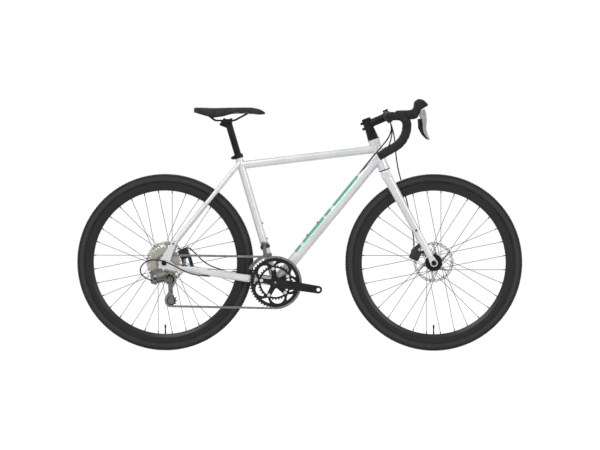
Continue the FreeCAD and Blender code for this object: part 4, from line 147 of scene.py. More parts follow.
def add_bump(tree, shader, height, strength, distance):
    bump = add_node(tree, "ShaderNodeBump")
    bump.inputs["Strength"].default_value = strength
    bump.inputs["Distance"].default_value = distance
    tree.links.new(height, bump.inputs["Height"])
    tree.links.new(bump.outputs["Normal"], shader.inputs["Normal"])


def surface(name, colours, roughness, patch, grain, metallic=0.0, coat=0.0, gloss=0.5, bump=0.2,
            depth=0.0002):
    """Finish with patchy colour and roughness and a fine grain in its bump. Scales are per metre."""
    material, tree, shader = new_material(name)
    vector = object_coordinates(tree)
    patches = noise(tree, vector, patch)
    tree.links.new(ramp(tree, patches, *colours), shader.inputs["Base Color"])
    fine = noise(tree, vector, grain, GRAIN_DETAIL)
    tree.links.new(spread(tree, fine, *roughness), shader.inputs["Roughness"])
    shader.inputs["Metallic"].default_value = metallic
    shader.inputs["Specular IOR Level"].default_value = gloss
    shader.inputs["Coat Weight"].default_value = coat
    shader.inputs["Coat Roughness"].default_value = COAT_ROUGHNESS
    add_bump(tree, shader, fine, bump, depth)
    return material


def offset_from(tree, origin):
    """Vector from an origin to a surface point."""
    offset = add_node(tree, "ShaderNodeVectorMath", operation="SUBTRACT")
    offset.inputs[1].default_value = origin
    tree.links.new(object_coordinates(tree), offset.inputs[0])
    return offset.outputs["Vector"]


def axle_distance(tree, centre):
    """Distance of a surface point from an axis that runs across the bicycle."""
    flat = add_node(tree, "ShaderNodeVectorMath", operation="MULTIPLY")
    flat.inputs[1].default_value = (1, 0, 1)
    tree.links.new(offset_from(tree, centre), flat.inputs[0])
    length = add_node(tree, "ShaderNodeVectorMath", operation="LENGTH")
    tree.links.new(flat.outputs["Vector"], length.inputs[0])
    return length.outputs["Value"]


def radial_surface(name, colours, roughness, centre, lines, metallic=1.0, gloss=0.5):
    """Metal turned on a lathe: fine rings round an axis that runs across the bicycle."""
    material, tree, shader = new_material(name)
    rings = add_node(tree, "ShaderNodeTexNoise", noise_dimensions="1D")
    rings.inputs["Scale"].default_value = lines
    rings.inputs["Detail"].default_value = RING_DETAIL
    tree.links.new(axle_distance(tree, centre), rings.inputs["W"])
    tree.links.new(ramp(tree, rings.outputs["Fac"], *colours), shader.inputs["Base Color"])
    tree.links.new(spread(tree, rings.outputs["Fac"], *roughness), shader.inputs["Roughness"])
    shader.inputs["Metallic"].default_value = metallic
    shader.inputs["Specular IOR Level"].default_value = gloss
    add_bump(tree, shader, rings.outputs["Fac"], RING_BUMP, RING_DEPTH)
    return material


MINT = (0.075, 0.40, 0.29)
# Painted highlight: paler grey laid over the tyre's shoulder, where the tread catches light.
SHOULDER_HIGHLIGHT_GREY = (0.048, 0.048, 0.049)
# Pairs of colours, for the darkest and palest patches of a finish.
PEARL = ((0.60, 0.605, 0.615), (0.68, 0.685, 0.69))
BLACK = ((0.006, 0.006, 0.0065), (0.013, 0.013, 0.014))
COVER_BLACK = ((0.020, 0.020, 0.021), (0.034, 0.034, 0.035))
RUBBER = ((0.009, 0.009, 0.009), (0.020, 0.020, 0.020))
DARK_GREY = ((0.030, 0.031, 0.033), (0.055, 0.056, 0.058))
MID_GREY = ((0.10, 0.103, 0.107), (0.17, 0.173, 0.178))
RIM_BLACK = ((0.009, 0.009, 0.0095), (0.019, 0.019, 0.020))
PALE_GREY = ((0.26, 0.265, 0.27), (0.36, 0.365, 0.37))
SPOKE_GREY = ((0.018, 0.018, 0.019), (0.040, 0.040, 0.042))
SILVER = ((0.52, 0.525, 0.53), (0.66, 0.665, 0.67))
STEEL = ((0.40, 0.40, 0.40), (0.58, 0.58, 0.57))
COG_STEEL = ((0.30, 0.275, 0.24), (0.56, 0.52, 0.46))
CHAIN_STEEL = ((0.11, 0.107, 0.102), (0.29, 0.283, 0.27))
THREAD = ((0.020, 0.020, 0.021), (0.035, 0.035, 0.036))
BLACK_GLOSS = 0.18
PEARL_PATCH = 9
PEARL_ROUGHNESS = (0.26, 0.40)
PEARL_METALLIC = 0.25
PEARL_COAT = 0.55
PEARL_COAT_ROUGHNESS = 0.08
FLAKE_SCALE = 2600
FLAKE_DETAIL = 1.0
FLAKE_BUMP = 0.05
FLAKE_DEPTH = 0.0001
# Painted bars, measured from the bottom bracket along the down tube and up from its line.
DOWN_TUBE_LINE = Vector((0.6344, 0.0, 0.7730))
STRIPE_STARTS = (0.143, 0.192, 0.328, 0.379)
STRIPE_LENGTHS = (0.033, 0.126, 0.033, 0.151)
STRIPE_HALF = 0.0065
STRIPE_RISE = 0.0160
# Radii where the painted highlight on the tyre's shoulder begins, is full, starts to fade and ends.
SHOULDER_HIGHLIGHT_RADII = (0.317, 0.328, 0.336, 0.346)
SHOULDER_HIGHLIGHT_SPECKLE = 260
HIGHLIGHT_SPECKLE_RANGE = (0.4, 1.0)


def pearl_paint(name):
    """Pale silver paint with fine flake under a clear coat."""
    material, tree, shader = new_material(name)
    vector = object_coordinates(tree)
    patches = noise(tree, vector, PEARL_PATCH)
    tree.links.new(ramp(tree, patches, *PEARL), shader.inputs["Base Color"])
    flake = noise(tree, vector, FLAKE_SCALE, FLAKE_DETAIL)
    tree.links.new(spread(tree, flake, *PEARL_ROUGHNESS), shader.inputs["Roughness"])
    shader.inputs["Metallic"].default_value = PEARL_METALLIC
    shader.inputs["Coat Weight"].default_value = PEARL_COAT
    shader.inputs["Coat Roughness"].default_value = PEARL_COAT_ROUGHNESS
    add_bump(tree, shader, flake, FLAKE_BUMP, FLAKE_DEPTH)
    return material


def along(tree, origin, direction):
    """Distance of a surface point from an origin along a direction."""
    dot = add_node(tree, "ShaderNodeVectorMath", operation="DOT_PRODUCT")
    dot.inputs[1].default_value = direction
    tree.links.new(offset_from(tree, origin), dot.inputs[0])
    return dot.outputs["Value"]


def within(tree, value, middle, half):
    """One where the value is no further than half from the middle, and zero elsewhere."""
    node = add_node(tree, "ShaderNodeMath", operation="COMPARE")
    node.inputs[1].default_value = middle
    node.inputs[2].default_value = half
    tree.links.new(value, node.inputs[0])
    return node.outputs["Value"]


def combine(tree, operation, first, second):
    node = add_node(tree, "ShaderNodeMath", operation=operation)
    tree.links.new(first, node.inputs[0])
    tree.links.new(second, node.inputs[1])
    return node.outputs["Value"]


def lay_over(tree, mask, colour):
    """Second colour over a finish's own colour, as far as the mask lets it through."""
    base = tree.nodes["Principled BSDF"].inputs["Base Color"]
    mix = add_node(tree, "ShaderNodeMix", data_type="RGBA")
    mix.inputs["B"].default_value = (*colour, 1)
    tree.links.new(mask, mix.inputs["Factor"])
    tree.links.new(base.links[0].from_socket, mix.inputs["A"])
    tree.links.new(mix.outputs["Result"], base)


def striped_paint():
    """The pearl paint with plain mint bars along the upper side of the down tube."""
    material = pearl_paint("pearl_paint_with_bars")
    tree = material.node_tree
    run = along(tree, BOTTOM_BRACKET, DOWN_TUBE_LINE)
    height = along(tree, BOTTOM_BRACKET, DOWN_TUBE_LINE.cross(ACROSS))
    bars = None
    for start, length in zip(STRIPE_STARTS, STRIPE_LENGTHS):
        bar = within(tree, run, start + length / 2, length / 2)
        bars = bar if bars is None else combine(tree, "MAXIMUM", bars, bar)
    mask = combine(tree, "MULTIPLY", bars, within(tree, height, STRIPE_RISE, STRIPE_HALF))
    lay_over(tree, mask, MINT)
    return material


def fade(tree, value, start, end):
    """Zero at the start value, one at the end value, and held beyond both."""
    node = add_node(tree, "ShaderNodeMapRange")
    node.inputs["From Min"].default_value = start
    node.inputs["From Max"].default_value = end
    tree.links.new(value, node.inputs["Value"])
    return node.outputs["Result"]


def tyre_rubber(name, axle):
    """Tyre rubber with a painted highlight: a paler, speckled band on its shoulder, where the tread catches light.
    """
    material = surface(name, RUBBER, (0.60, 0.78), 26, 900, gloss=BLACK_GLOSS, bump=0.35, depth=0.0003)
    tree = material.node_tree
    inside, low, high, outside = SHOULDER_HIGHLIGHT_RADII
    distance = axle_distance(tree, axle)
    rise = fade(tree, distance, inside, low)
    fall = fade(tree, distance, outside, high)
    band = combine(tree, "MULTIPLY", rise, fall)
    dots = noise(tree, object_coordinates(tree), SHOULDER_HIGHLIGHT_SPECKLE)
    speckle = spread(tree, dots, *HIGHLIGHT_SPECKLE_RANGE)
    # Painted highlight: speckled pale grey over the rubber in the shoulder band.
    lay_over(tree, combine(tree, "MULTIPLY", band, speckle), SHOULDER_HIGHLIGHT_GREY)
    return material


def wheel_materials(name, axle):
    """Rubber, rim and rotor finishes about one axle."""
    return {
        "rubber_" + name: tyre_rubber("tyre_rubber_" + name, axle),
        "rim_" + name: radial_surface("rim_black_" + name, RIM_BLACK, (0.26, 0.40), axle, 900,
                                      metallic=0.4, gloss=0.4),
        "rotor_" + name: radial_surface("rotor_steel_" + name, STEEL, (0.22, 0.38), axle, 2600),
    }


def black_materials():
    return {
        "satin_black": surface("satin_black", BLACK, (0.34, 0.48), 40, 1800, metallic=0.2,
                               gloss=BLACK_GLOSS, bump=0.1),
        "gloss_black": surface("gloss_black", BLACK, (0.26, 0.36), 30, 900, coat=0.05,
                               gloss=BLACK_GLOSS, bump=0.03),
        "hood": surface("hood_rubber", RUBBER, (0.50, 0.66), 60, 1100, gloss=BLACK_GLOSS, bump=0.45,
                        depth=0.0003),
        "tape": surface("bar_wrap", RUBBER, (0.52, 0.72), 45, 700, gloss=BLACK_GLOSS, bump=0.5,
                        depth=0.0004),
        "plastic": surface("black_plastic", BLACK, (0.38, 0.52), 50, 1500, gloss=BLACK_GLOSS,
                           bump=0.12),
        "cover": surface("saddle_cover", COVER_BLACK, (0.46, 0.62), 35, 1000, gloss=BLACK_GLOSS,
                         bump=0.5, depth=0.0003),
        "stitch": surface("seam_thread", THREAD, (0.6, 0.8), 80, 900, gloss=BLACK_GLOSS),
        "housing": surface("cable_housing", BLACK, (0.30, 0.42), 60, 1200, gloss=BLACK_GLOSS,
                           bump=0.08),
    }


def metal_materials():
    return {
        "silver": surface("satin_alloy", SILVER, (0.26, 0.38), 60, 2400, metallic=0.9, bump=0.06),
        "blade": surface("lever_alloy", PALE_GREY, (0.28, 0.40), 60, 2400, metallic=0.75, bump=0.06),
        "grey": surface("dark_grey_alloy", DARK_GREY, (0.28, 0.42), 60, 2200, metallic=0.5,
                        gloss=BLACK_GLOSS, bump=0.08),
        "mech": surface("derailleur_grey", MID_GREY, (0.26, 0.40), 70, 2200, metallic=0.75, bump=0.06),
        "steel": surface("bright_steel", SILVER, (0.18, 0.30), 90, 2600, metallic=1.0, bump=0.05),
        "chain": surface("chain_steel", CHAIN_STEEL, (0.24, 0.44), 160, 1400, metallic=1.0),
        "spoke": surface("spoke_steel", SPOKE_GREY, (0.25, 0.38), 120, 1600, metallic=0.9, bump=0.04),
        "cogs": radial_surface("cog_steel", COG_STEEL, (0.25, 0.40), REAR_AXLE, 1500),
    }


def make_materials():
    materials = {"paint": pearl_paint("pearl_paint"), "striped": striped_paint()}
    materials.update(wheel_materials("front", FRONT_AXLE))
    materials.update(wheel_materials("rear", REAR_AXLE))
    materials.update(black_materials())
    materials.update(metal_materials())
    return materials


# Finish of each CAD node.
NODE_FINISHES = {
    "paint": ("head_tube", "top_tube", "seat_tube", "bottom_bracket_shell", "rear_stays",
              "rear_dropouts", "fork_crown", "fork_legs"),
    "striped": ("down_tube",),
    "satin_black": ("seat_clamp", "rear_axle", "front_axle", "frame_bearings", "headset_spacers",
                    "stem", "handlebar", "seatpost", "saddle_clamp", "saddle_rails", "front_hub",
                    "rear_hub"),
    "gloss_black": ("right_crank", "left_crank", "chainrings"),
    "rim_front": ("front_rim",),
    "rim_rear": ("rear_rim",),
    "rotor_front": ("front_rotor",),
    "rotor_rear": ("rear_rotor",),
    "cogs": ("cassette",),
    "silver": ("front_caliper_arm", "rear_caliper_arm"),
    "blade": ("right_brake_lever", "left_brake_lever"),
    "grey": ("front_caliper", "rear_caliper", "front_derailleur_body", "frame_bolts", "cockpit_bolts"),
    "mech": ("rear_derailleur_knuckle", "rear_derailleur_outer_link", "rear_derailleur_inner_link",
             "rear_derailleur_cage", "front_derailleur_cage"),
    "steel": ("chainring_bolts",),
    "chain": ("chain",),
    "spoke": ("front_spokes", "rear_spokes"),
    "rubber_front": ("front_tyre",),
    "rubber_rear": ("rear_tyre",),
    "hood": ("lever_hoods",),
    "tape": ("bar_tape",),
    "plastic": ("right_shift_paddle", "left_shift_paddle", "upper_jockey_wheel", "lower_jockey_wheel",
                "saddle_shell"),
    "cover": ("saddle_pad",),
    "housing": ("control_cables", "rear_cables", "front_brake_cable"),
}


def dress_nodes(materials):
    for finish, names in NODE_FINISHES.items():
        for name in names:
            mesh = nodes[name].data
            mesh.materials.clear()
            mesh.materials.append(materials[finish])


# Mesh helpers


def make_piece(name, points, faces, material, slot, body=None, smooth=True):
    """New mesh object with faces turned outwards, riding on a body where one is given."""
    mesh = bpy.data.meshes.new(name)
    mesh.from_pydata([tuple(point) for point in points], [], faces)
    shell = bmesh.new()
    shell.from_mesh(mesh)
    bmesh.ops.recalc_face_normals(shell, faces=shell.faces)
    shell.to_mesh(mesh)
    shell.free()
    mesh.materials.append(material)
    mesh.polygons.foreach_set("use_smooth", [smooth] * len(mesh.polygons))
    piece = bpy.data.objects.new(name, mesh)
    bpy.context.scene.collection.objects.link(piece)
    if body:
        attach(piece, body)
    return piece


def grid_faces(rows, columns, close_rows=False, close_columns=True):
    """Quads over a grid of points kept row by row."""
    faces = []
    for row in range(rows if close_rows else rows - 1):
        for column in range(columns if close_columns else columns - 1):
            ahead = (row + 1) % rows
            beside = (column + 1) % columns
            faces.append((row * columns + column, row * columns + beside,
                          ahead * columns + beside, ahead * columns + column))
    return faces


def capped(rows, columns):
    """Quads of a closed tube with an end face at each end."""
    faces = grid_faces(rows, columns)
    faces.append(tuple(range(columns)))
    faces.append(tuple(range((rows - 1) * columns, rows * columns)))
    return faces


def shifted(faces, start):
    """The same faces for points that begin at a later place in the list."""
    return [tuple(corner + start for corner in face) for face in faces]


def wheel_point(axle, angle, side, radius):
    return axle + Vector((math.cos(angle) * radius, side, math.sin(angle) * radius))


def turned_points(origin, axis, profile, sides):
    """Rings of points round an axis. The profile gives distance along the axis and radius."""
    axis = Vector(axis).normalized()
    first = axis.orthogonal().normalized()
    second = axis.cross(first)
    points = []
    for reach, radius in profile:
        for index in range(sides):
            turn = 2 * math.pi * index / sides
            spoke = first * math.cos(turn) + second * math.sin(turn)
            points.append(origin + axis * reach + spoke * radius)
    return points


def lathe(origin, axis, profile, sides=32):
    """Points and faces of a solid turned piece."""
    return turned_points(origin, axis, profile, sides), capped(len(profile), sides)


def lathe_ring(origin, axis, profile, sides=32):
    """Points and faces of a turned ring, whose profile is a closed loop."""
    points = turned_points(origin, axis, profile, sides)
    return points, grid_faces(len(profile), sides, close_rows=True)


def rings_along(line, sides, radius_at, closed=False):
    """Rings of points round a line. The radius is worked out from travel along it and turn round it."""
    points = []
    travel = 0.0
    normal = Vector((0, 0, 1))
    last = len(line) - 1
    for index, spot in enumerate(line):
        before = line[index - 1] if closed or index > 0 else spot
        after = line[(index + 1) % len(line)] if closed or index < last else spot
        tangent = (after - before).normalized()
        normal = (normal - tangent * normal.dot(tangent)).normalized()
        binormal = tangent.cross(normal)
        if index > 0:
            travel += (spot - before).length
        for column in range(sides):
            turn = 2 * math.pi * column / sides
            radius = radius_at(travel, turn)
            points.append(spot + (normal * math.cos(turn) + binormal * math.sin(turn)) * radius)
    return points


# Tyres

TYRE_RADIUS = FRONT_AXLE.z
TYRE_HALF_WIDTH = 0.0200
KNOB_HEIGHT = 0.0016
TYRE_WALL = 0.0025
BEAD_HALF_WIDTH = 0.0104
BEAD_RADIUS = 0.3160
WIDEST_RADIUS = 0.3305
# Lean in degrees, width and length of the blocks in each row.
KNOB_ROWS = ((4, 0.0042, 0.0062), (24, 0.0046, 0.0058), (43, 0.0048, 0.0066), (60, 0.0040, 0.0090))
KNOBS_ROUND = 132
KNOB_TOP_SHARE = 0.82
KNOB_CORNERS = ((-1, -1), (1, -1), (1, 1), (-1, 1))
KNOB_FACES = ((0, 1, 2, 3), (4, 5, 6, 7), (0, 1, 5, 4), (1, 2, 6, 5), (2, 3, 7, 6), (3, 0, 4, 7))
TYRE_STEPS = 180
LEAN_STEP = 10


def casing_point(lean, inset=0.0):
    """Side and radius of the casing at a lean in degrees. Past 90 it draws in to the bead."""
    turn = math.radians(lean)
    if abs(lean) <= 90:
        crown = TYRE_RADIUS - KNOB_HEIGHT - WIDEST_RADIUS
        side = (TYRE_HALF_WIDTH - inset) * math.sin(turn)
        return side, WIDEST_RADIUS + (crown - inset) * math.cos(turn)
    side = BEAD_HALF_WIDTH + (TYRE_HALF_WIDTH - BEAD_HALF_WIDTH) * abs(math.sin(turn)) - inset
    radius = WIDEST_RADIUS + (WIDEST_RADIUS - BEAD_RADIUS) * math.cos(turn)
    return math.copysign(side, lean), radius


def casing():
    """Closed profile of the tyre's wall, out from bead to bead and back along its inside."""
    leans = range(-180, 181, LEAN_STEP)
    outside = [casing_point(lean) for lean in leans]
    inside = [casing_point(lean, TYRE_WALL) for lean in reversed(leans)]
    return outside + inside


def knob(axle, turn, lean, half_width, half_length):
    """Eight corners of one tread block, smaller at its top and sunk a little into the casing."""
    side, radius = casing_point(lean)
    tilt = math.radians(lean)
    out = Vector((math.cos(turn) * math.cos(tilt), math.sin(tilt), math.sin(turn) * math.cos(tilt)))
    ahead = Vector((-math.sin(turn), 0, math.cos(turn)))
    beside = out.cross(ahead)
    centre = wheel_point(axle, turn, side, radius)
    corners = []
    for height, share in ((-KNOB_HEIGHT / 2, 1.0), (KNOB_HEIGHT, KNOB_TOP_SHARE)):
        for forward, sideways in KNOB_CORNERS:
            corners.append(centre + out * height + ahead * (forward * half_length * share)
                           + beside * (sideways * half_width * share))
    return corners


def make_casing(name, axle, body, rubber):
    profile = casing()
    points = []
    for index in range(TYRE_STEPS):
        turn = 2 * math.pi * index / TYRE_STEPS
        points += [wheel_point(axle, turn, side, radius) for side, radius in profile]
    faces = grid_faces(TYRE_STEPS, len(profile), close_rows=True)
    tyre = make_piece(name, points, faces, rubber, "tyre_rubber", body)
    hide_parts(name.replace("_casing", "_tyre"))


def make_tread(name, axle, body, rubber):
    """Rows of tread blocks, each row and each side half a block further round than the last."""
    points = []
    faces = []
    for row, (lean, width, length) in enumerate(KNOB_ROWS):
        for side in (-1, 1):
            stagger = row / 2 + (0.5 if side > 0 else 0)
            for index in range(KNOBS_ROUND):
                turn = 2 * math.pi * (index + stagger) / KNOBS_ROUND
                faces += shifted(KNOB_FACES, len(points))
                points += knob(axle, turn, side * lean, width / 2, length / 2)
    make_piece(name, points, faces, rubber, "tyre_rubber", body, smooth=False)


# Profiles of turned pieces give the distance along the axis and the radius there.
VALVE_PROFILE = ((0.0, 0.0030), (0.013, 0.0030), (0.0135, 0.0026), (0.024, 0.0026), (0.0245, 0.0035),
                 (0.036, 0.0035), (0.0385, 0.0024))
VALVE_SIDES = 20
RIM_INNER_RADIUS = 0.2855


def make_valve(name, axle, body, materials):
    foot = axle - Vector((0, 0, RIM_INNER_RADIUS))
    valve = lathe(foot, (0, 0, 1), VALVE_PROFILE, VALVE_SIDES)
    make_piece(name, *valve, materials["plastic"], "black_plastic", body)


# Handlebar tape

BAR_RADIUS = 0.0119
BAR_CLAMP_RADIUS = 0.0159
BAR_HALF_WIDTH = 0.205
BAR_FLARE = 0.009
BAR_REACH = 0.077
BAR_DROP = 0.095
BAR_END_BACK = 0.109
BAR_END_DROP = 0.061
BAR_BENDS = (0.038, 0.034, 0.098)
FEWEST_BEND_STEPS = 8
BAR_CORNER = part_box("handlebar")[1]
BAR = Vector((BAR_CORNER.x - BAR_RADIUS - BAR_REACH, 0, BAR_CORNER.z - BAR_CLAMP_RADIUS))
TAPE_START = 0.068
TAPE_RADIUS = 0.0168
TAPE_STEP = 0.021
TAPE_EDGE = 0.0013
TAPE_EDGE_SHARE = 0.12
TAPE_SIDES = 40
RING_SPACING = 0.0016


def bar_corners(side):
    """Corners of the bar's line from the tape's inner end to the end of the drop."""
    corners = (
        (0, TAPE_START, 0),
        (0, BAR_HALF_WIDTH, 0),
        (BAR_REACH, BAR_HALF_WIDTH + BAR_FLARE, 0),
        (BAR_REACH, BAR_HALF_WIDTH + 2 * BAR_FLARE, -BAR_DROP),
        (BAR_REACH - BAR_END_BACK, BAR_HALF_WIDTH + 3 * BAR_FLARE, -BAR_DROP - BAR_END_DROP),
    )
    return [BAR + Vector((ahead, side * across, up)) for ahead, across, up in corners]


def bent_bar(corners, bends, step):
    """Even points along straight runs joined by bends, as a bent metal bar has."""
    line = [corners[0]]
    for index, radius in enumerate(bends, start=1):
        corner = corners[index]
        back = (corners[index - 1] - corner).normalized()
        ahead = (corners[index + 1] - corner).normalized()
        half = back.angle(ahead) / 2
        reach = radius / math.tan(half)
        centre = corner + (back + ahead).normalized() * (radius / math.sin(half))
        start = corner + back * reach - centre
        turn = math.pi - 2 * half
        axis = back.cross(ahead)
        count = max(FEWEST_BEND_STEPS, int(radius * turn / step))
        for part in range(count + 1):
            line.append(centre + Matrix.Rotation(-turn * part / count, 3, axis) @ start)
    line.append(corners[-1])
    even = []
    for first, second in zip(line, line[1:]):
        count = max(1, round((second - first).length / step))
        even += [first.lerp(second, part / count) for part in range(count)]
    return even + [corners[-1]]


def tape_profile(travel, turn):
    """Radius of the wrap: each turn climbs over the one before it and ends in a soft edge."""
    share = (travel / TAPE_STEP - turn / (2 * math.pi)) % 1.0
    fall = min(1.0, (1.0 - share) / TAPE_EDGE_SHARE)
    return TAPE_RADIUS - TAPE_EDGE + TAPE_EDGE * share * fall


PLUG_PROFILE = ((0.0, 0.0158), (0.0015, 0.0158), (0.0028, 0.0148), (0.0036, 0.0120), (0.0039, 0.0060))
BAND_PROFILE = ((-0.001, 0.0140), (0.0, 0.01695), (0.015, 0.01695), (0.016, 0.0140))


def make_tape(materials):
    """Wrap on both sides of the bar, with end plugs and the bands that hold its inner ends."""
    points = []
    faces = []
    for name, side in (("right", -1), ("left", 1)):
        line = bent_bar(bar_corners(side), BAR_BENDS, RING_SPACING)
        faces += shifted(capped(len(line), TAPE_SIDES), len(points))
        points += rings_along(line, TAPE_SIDES, tape_profile)
        plug = lathe(line[-1], line[-1] - line[-2], PLUG_PROFILE)
        make_piece(name + "_bar_plug", *plug, materials["plastic"], "black_plastic", "steering")
        band = lathe(line[0], (0, side, 0), BAND_PROFILE, TAPE_SIDES)
        make_piece(name + "_tape_band", *band, materials["gloss_black"], "black_plastic", "steering")
    wrap = make_piece("bar_wrap", points, faces, materials["tape"], "bar_wrap", "steering")
    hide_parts("bar_tape")


# Saddle

# Distance from the rear, half width, drop of the top and height of the pad, in metres.
SADDLE_STATIONS = (
    (0.000, 0.0300, 0.0030, 0.0140),
    (0.008, 0.0500, 0.0005, 0.0185),
    (0.045, 0.0710, 0.0005, 0.0295),
    (0.075, 0.0725, 0.0015, 0.0360),
    (0.110, 0.0580, 0.0010, 0.0320),
    (0.148, 0.0360, 0.0003, 0.0227),
    (0.190, 0.0235, 0.0000, 0.0215),
    (0.226, 0.0200, 0.0003, 0.0227),
    (0.256, 0.0180, 0.0060, 0.0200),
    (0.274, 0.0130, 0.0150, 0.0095),
    (0.280, 0.0070, 0.0200, 0.0035),
)
# Share of the half width and of the height, from the middle of the base up to the middle of the top.
SADDLE_SECTION = (
    (0.0, 0.0), (0.45, 0.0), (0.80, 0.0), (0.90, 0.05), (0.965, 0.22), (1.0, 0.45), (0.985, 0.62),
    (0.93, 0.78), (0.83, 0.89), (0.66, 0.955), (0.48, 0.99), (0.33, 1.0), (0.20, 0.98), (0.10, 0.93),
    (0.0, 0.905),
)
SADDLE_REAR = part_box("saddle_pad")[0].x
SADDLE_TOP_MARGIN = 0.0004
SADDLE_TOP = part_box("saddle_pad")[1].z - SADDLE_TOP_MARGIN
SADDLE_STEPS = 60
# Place of the seam in the section, and the steps that it keeps from both ends.
SEAM_PLACE = 8
SEAM_MARGIN = 2
SEAM_RADIUS = 0.0006
SEAM_SIDES = 8


def smooth_between(values, place):
    """Value on a smooth curve through evenly numbered values."""
    low = min(int(place), len(values) - 2)
    part = place - low
    before = values[max(low - 1, 0)]
    after = values[min(low + 2, len(values) - 1)]
    first = values[low]
    second = values[low + 1]
    return 0.5 * (2 * first + (second - before) * part
                  + (2 * before - 5 * first + 4 * second - after) * part ** 2
                  + (3 * first - before - 3 * second + after) * part ** 3)


def saddle_station(place):
    return [smooth_between(column, place) for column in zip(*SADDLE_STATIONS)]


def saddle_spot(place, sideways, rise):
    back, half, drop, height = saddle_station(place)
    return Vector((SADDLE_REAR + back, half * sideways, SADDLE_TOP - drop - height * (1 - rise)))


def make_saddle(materials):
    """Crowned pad with drawn-in sides, a channel along the middle and a sewn edge."""
    loop = list(SADDLE_SECTION)
    loop += [(-sideways, rise) for sideways, rise in reversed(SADDLE_SECTION[1:-1])]
    last = len(SADDLE_STATIONS) - 1
    points = []
    for step in range(SADDLE_STEPS + 1):
        points += [saddle_spot(last * step / SADDLE_STEPS, *spot) for spot in loop]
    faces = capped(SADDLE_STEPS + 1, len(loop))
    pad = make_piece("saddle_cushion", points, faces, materials["cover"], "saddle_cover", "seat")
    smoother = pad.modifiers.new("smooth", "SUBSURF")
    smoother.levels = 1
    smoother.render_levels = 2
    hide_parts("saddle_pad")
    sideways, rise = SADDLE_SECTION[SEAM_PLACE]
    seam_steps = range(SEAM_MARGIN, SADDLE_STEPS + 1 - SEAM_MARGIN)
    places = [last * step / SADDLE_STEPS for step in seam_steps]
    line = [saddle_spot(place, sideways, rise) for place in places]
    line += [saddle_spot(place, -sideways, rise) for place in reversed(places)]
    points = rings_along(line, SEAM_SIDES, lambda travel, turn: SEAM_RADIUS, closed=True)
    faces = grid_faces(len(line), SEAM_SIDES, close_rows=True)
    make_piece("saddle_seam", points, faces, materials["stitch"], "saddle_cover", "seat")


# Cables

HOUSING_DIAMETER = 0.005
HOUSING_SIDES = 14
# Control points of each housing's curve, in metres.
SHIFT_ROUTE = (
    (0.3555, -0.074, 0.9143), (0.367, -0.064, 0.888), (0.356, -0.046, 0.846), (0.323, -0.035, 0.806),
    (0.284, -0.029, 0.762), (0.250, -0.017, 0.718), (0.237, -0.009, 0.700),
)
LEFT_SHIFT_ROUTE = tuple((x, -y, z) for x, y, z in SHIFT_ROUTE)
REAR_BRAKE_ROUTE = (
    (0.3555, -0.092, 0.9143), (0.367, -0.078, 0.884), (0.364, -0.048, 0.842), (0.351, -0.014, 0.806),
    (0.348, 0.026, 0.772), (0.312, 0.036, 0.735), (0.275, 0.032, 0.695), (0.238, 0.008, 0.656),
)
FRONT_BRAKE_ROUTE = (
    (0.3555, 0.094, 0.9143), (0.368, 0.082, 0.884), (0.378, 0.066, 0.832), (0.382, 0.060, 0.772),
    (0.391, 0.060, 0.714), (0.407, 0.063, 0.657), (0.424, 0.066, 0.598), (0.438, 0.068, 0.538),
    (0.447, 0.067, 0.478), (0.4537, 0.062, 0.441), (0.4537, 0.0614, 0.4143),
)
DERAILLEUR_ROUTE = (
    (-0.352, -0.058, 0.298), (-0.398, -0.076, 0.300), (-0.448, -0.089, 0.316), (-0.498, -0.094, 0.345),
    (-0.548, -0.095, 0.364), (-0.598, -0.094, 0.362), (-0.628, -0.092, 0.330), (-0.616, -0.090, 0.294),
    (-0.578, -0.087, 0.281),
)
REAR_CALIPER_ROUTE = (
    (-0.262, 0.046, 0.300), (-0.300, 0.053, 0.316), (-0.345, 0.060, 0.328), (-0.385, 0.070, 0.350),
    (-0.414, 0.0766, 0.381), (-0.4402, 0.0776, 0.4035),
)
# Name, route, real length, CAD node it stands for, and the bodies that hold its start and its end.
HOUSINGS = (
    ("right_shift_housing", SHIFT_ROUTE, 0.268, "control_cables", "steering", "frame"),
    ("left_shift_housing", LEFT_SHIFT_ROUTE, 0.268, "control_cables", "steering", "frame"),
    ("rear_brake_housing", REAR_BRAKE_ROUTE, 0.352, "control_cables", "steering", "frame"),
    ("front_brake_housing", FRONT_BRAKE_ROUTE, 0.516, "front_brake_cable", "steering",
     "front_brake_arm"),
    ("derailleur_housing", DERAILLEUR_ROUTE, 0.378, "rear_cables", "frame", "frame"),
    ("rear_caliper_housing", REAR_CALIPER_ROUTE, 0.212, "rear_cables", "frame", "rear_brake_arm"),
)
FERRULE_PROFILE = ((-0.0004, 0.0031), (0.0104, 0.0031), (0.0112, 0.0027))


def route_line(name, route):
    """Points along the smooth curve whose control points are the route."""
    curve = bpy.data.curves.new(name + "_route", "CURVE")
    curve.dimensions = "3D"
    spline = curve.splines.new("NURBS")
    spline.points.add(len(route) - 1)
    for point, spot in zip(spline.points, route):
        point.co = (*spot, 1)
    spline.order_u = 3
    spline.use_endpoint_u = True
    spline.resolution_u = 10
    holder = bpy.data.objects.new(name + "_route", curve)
    mesh = bpy.data.meshes.new_from_object(holder)
    line = [vertex.co.copy() for vertex in mesh.vertices]
    bpy.data.meshes.remove(mesh)
    bpy.data.objects.remove(holder)
    bpy.data.curves.remove(curve)
    return line


def make_ferrule(name, line, body, materials):
    """Cap round the end of a housing, where the line starts."""
    cap = lathe(line[0], line[1] - line[0], FERRULE_PROFILE, HOUSING_SIDES)
    return make_piece(name, *cap, materials["plastic"], "black_plastic", body)


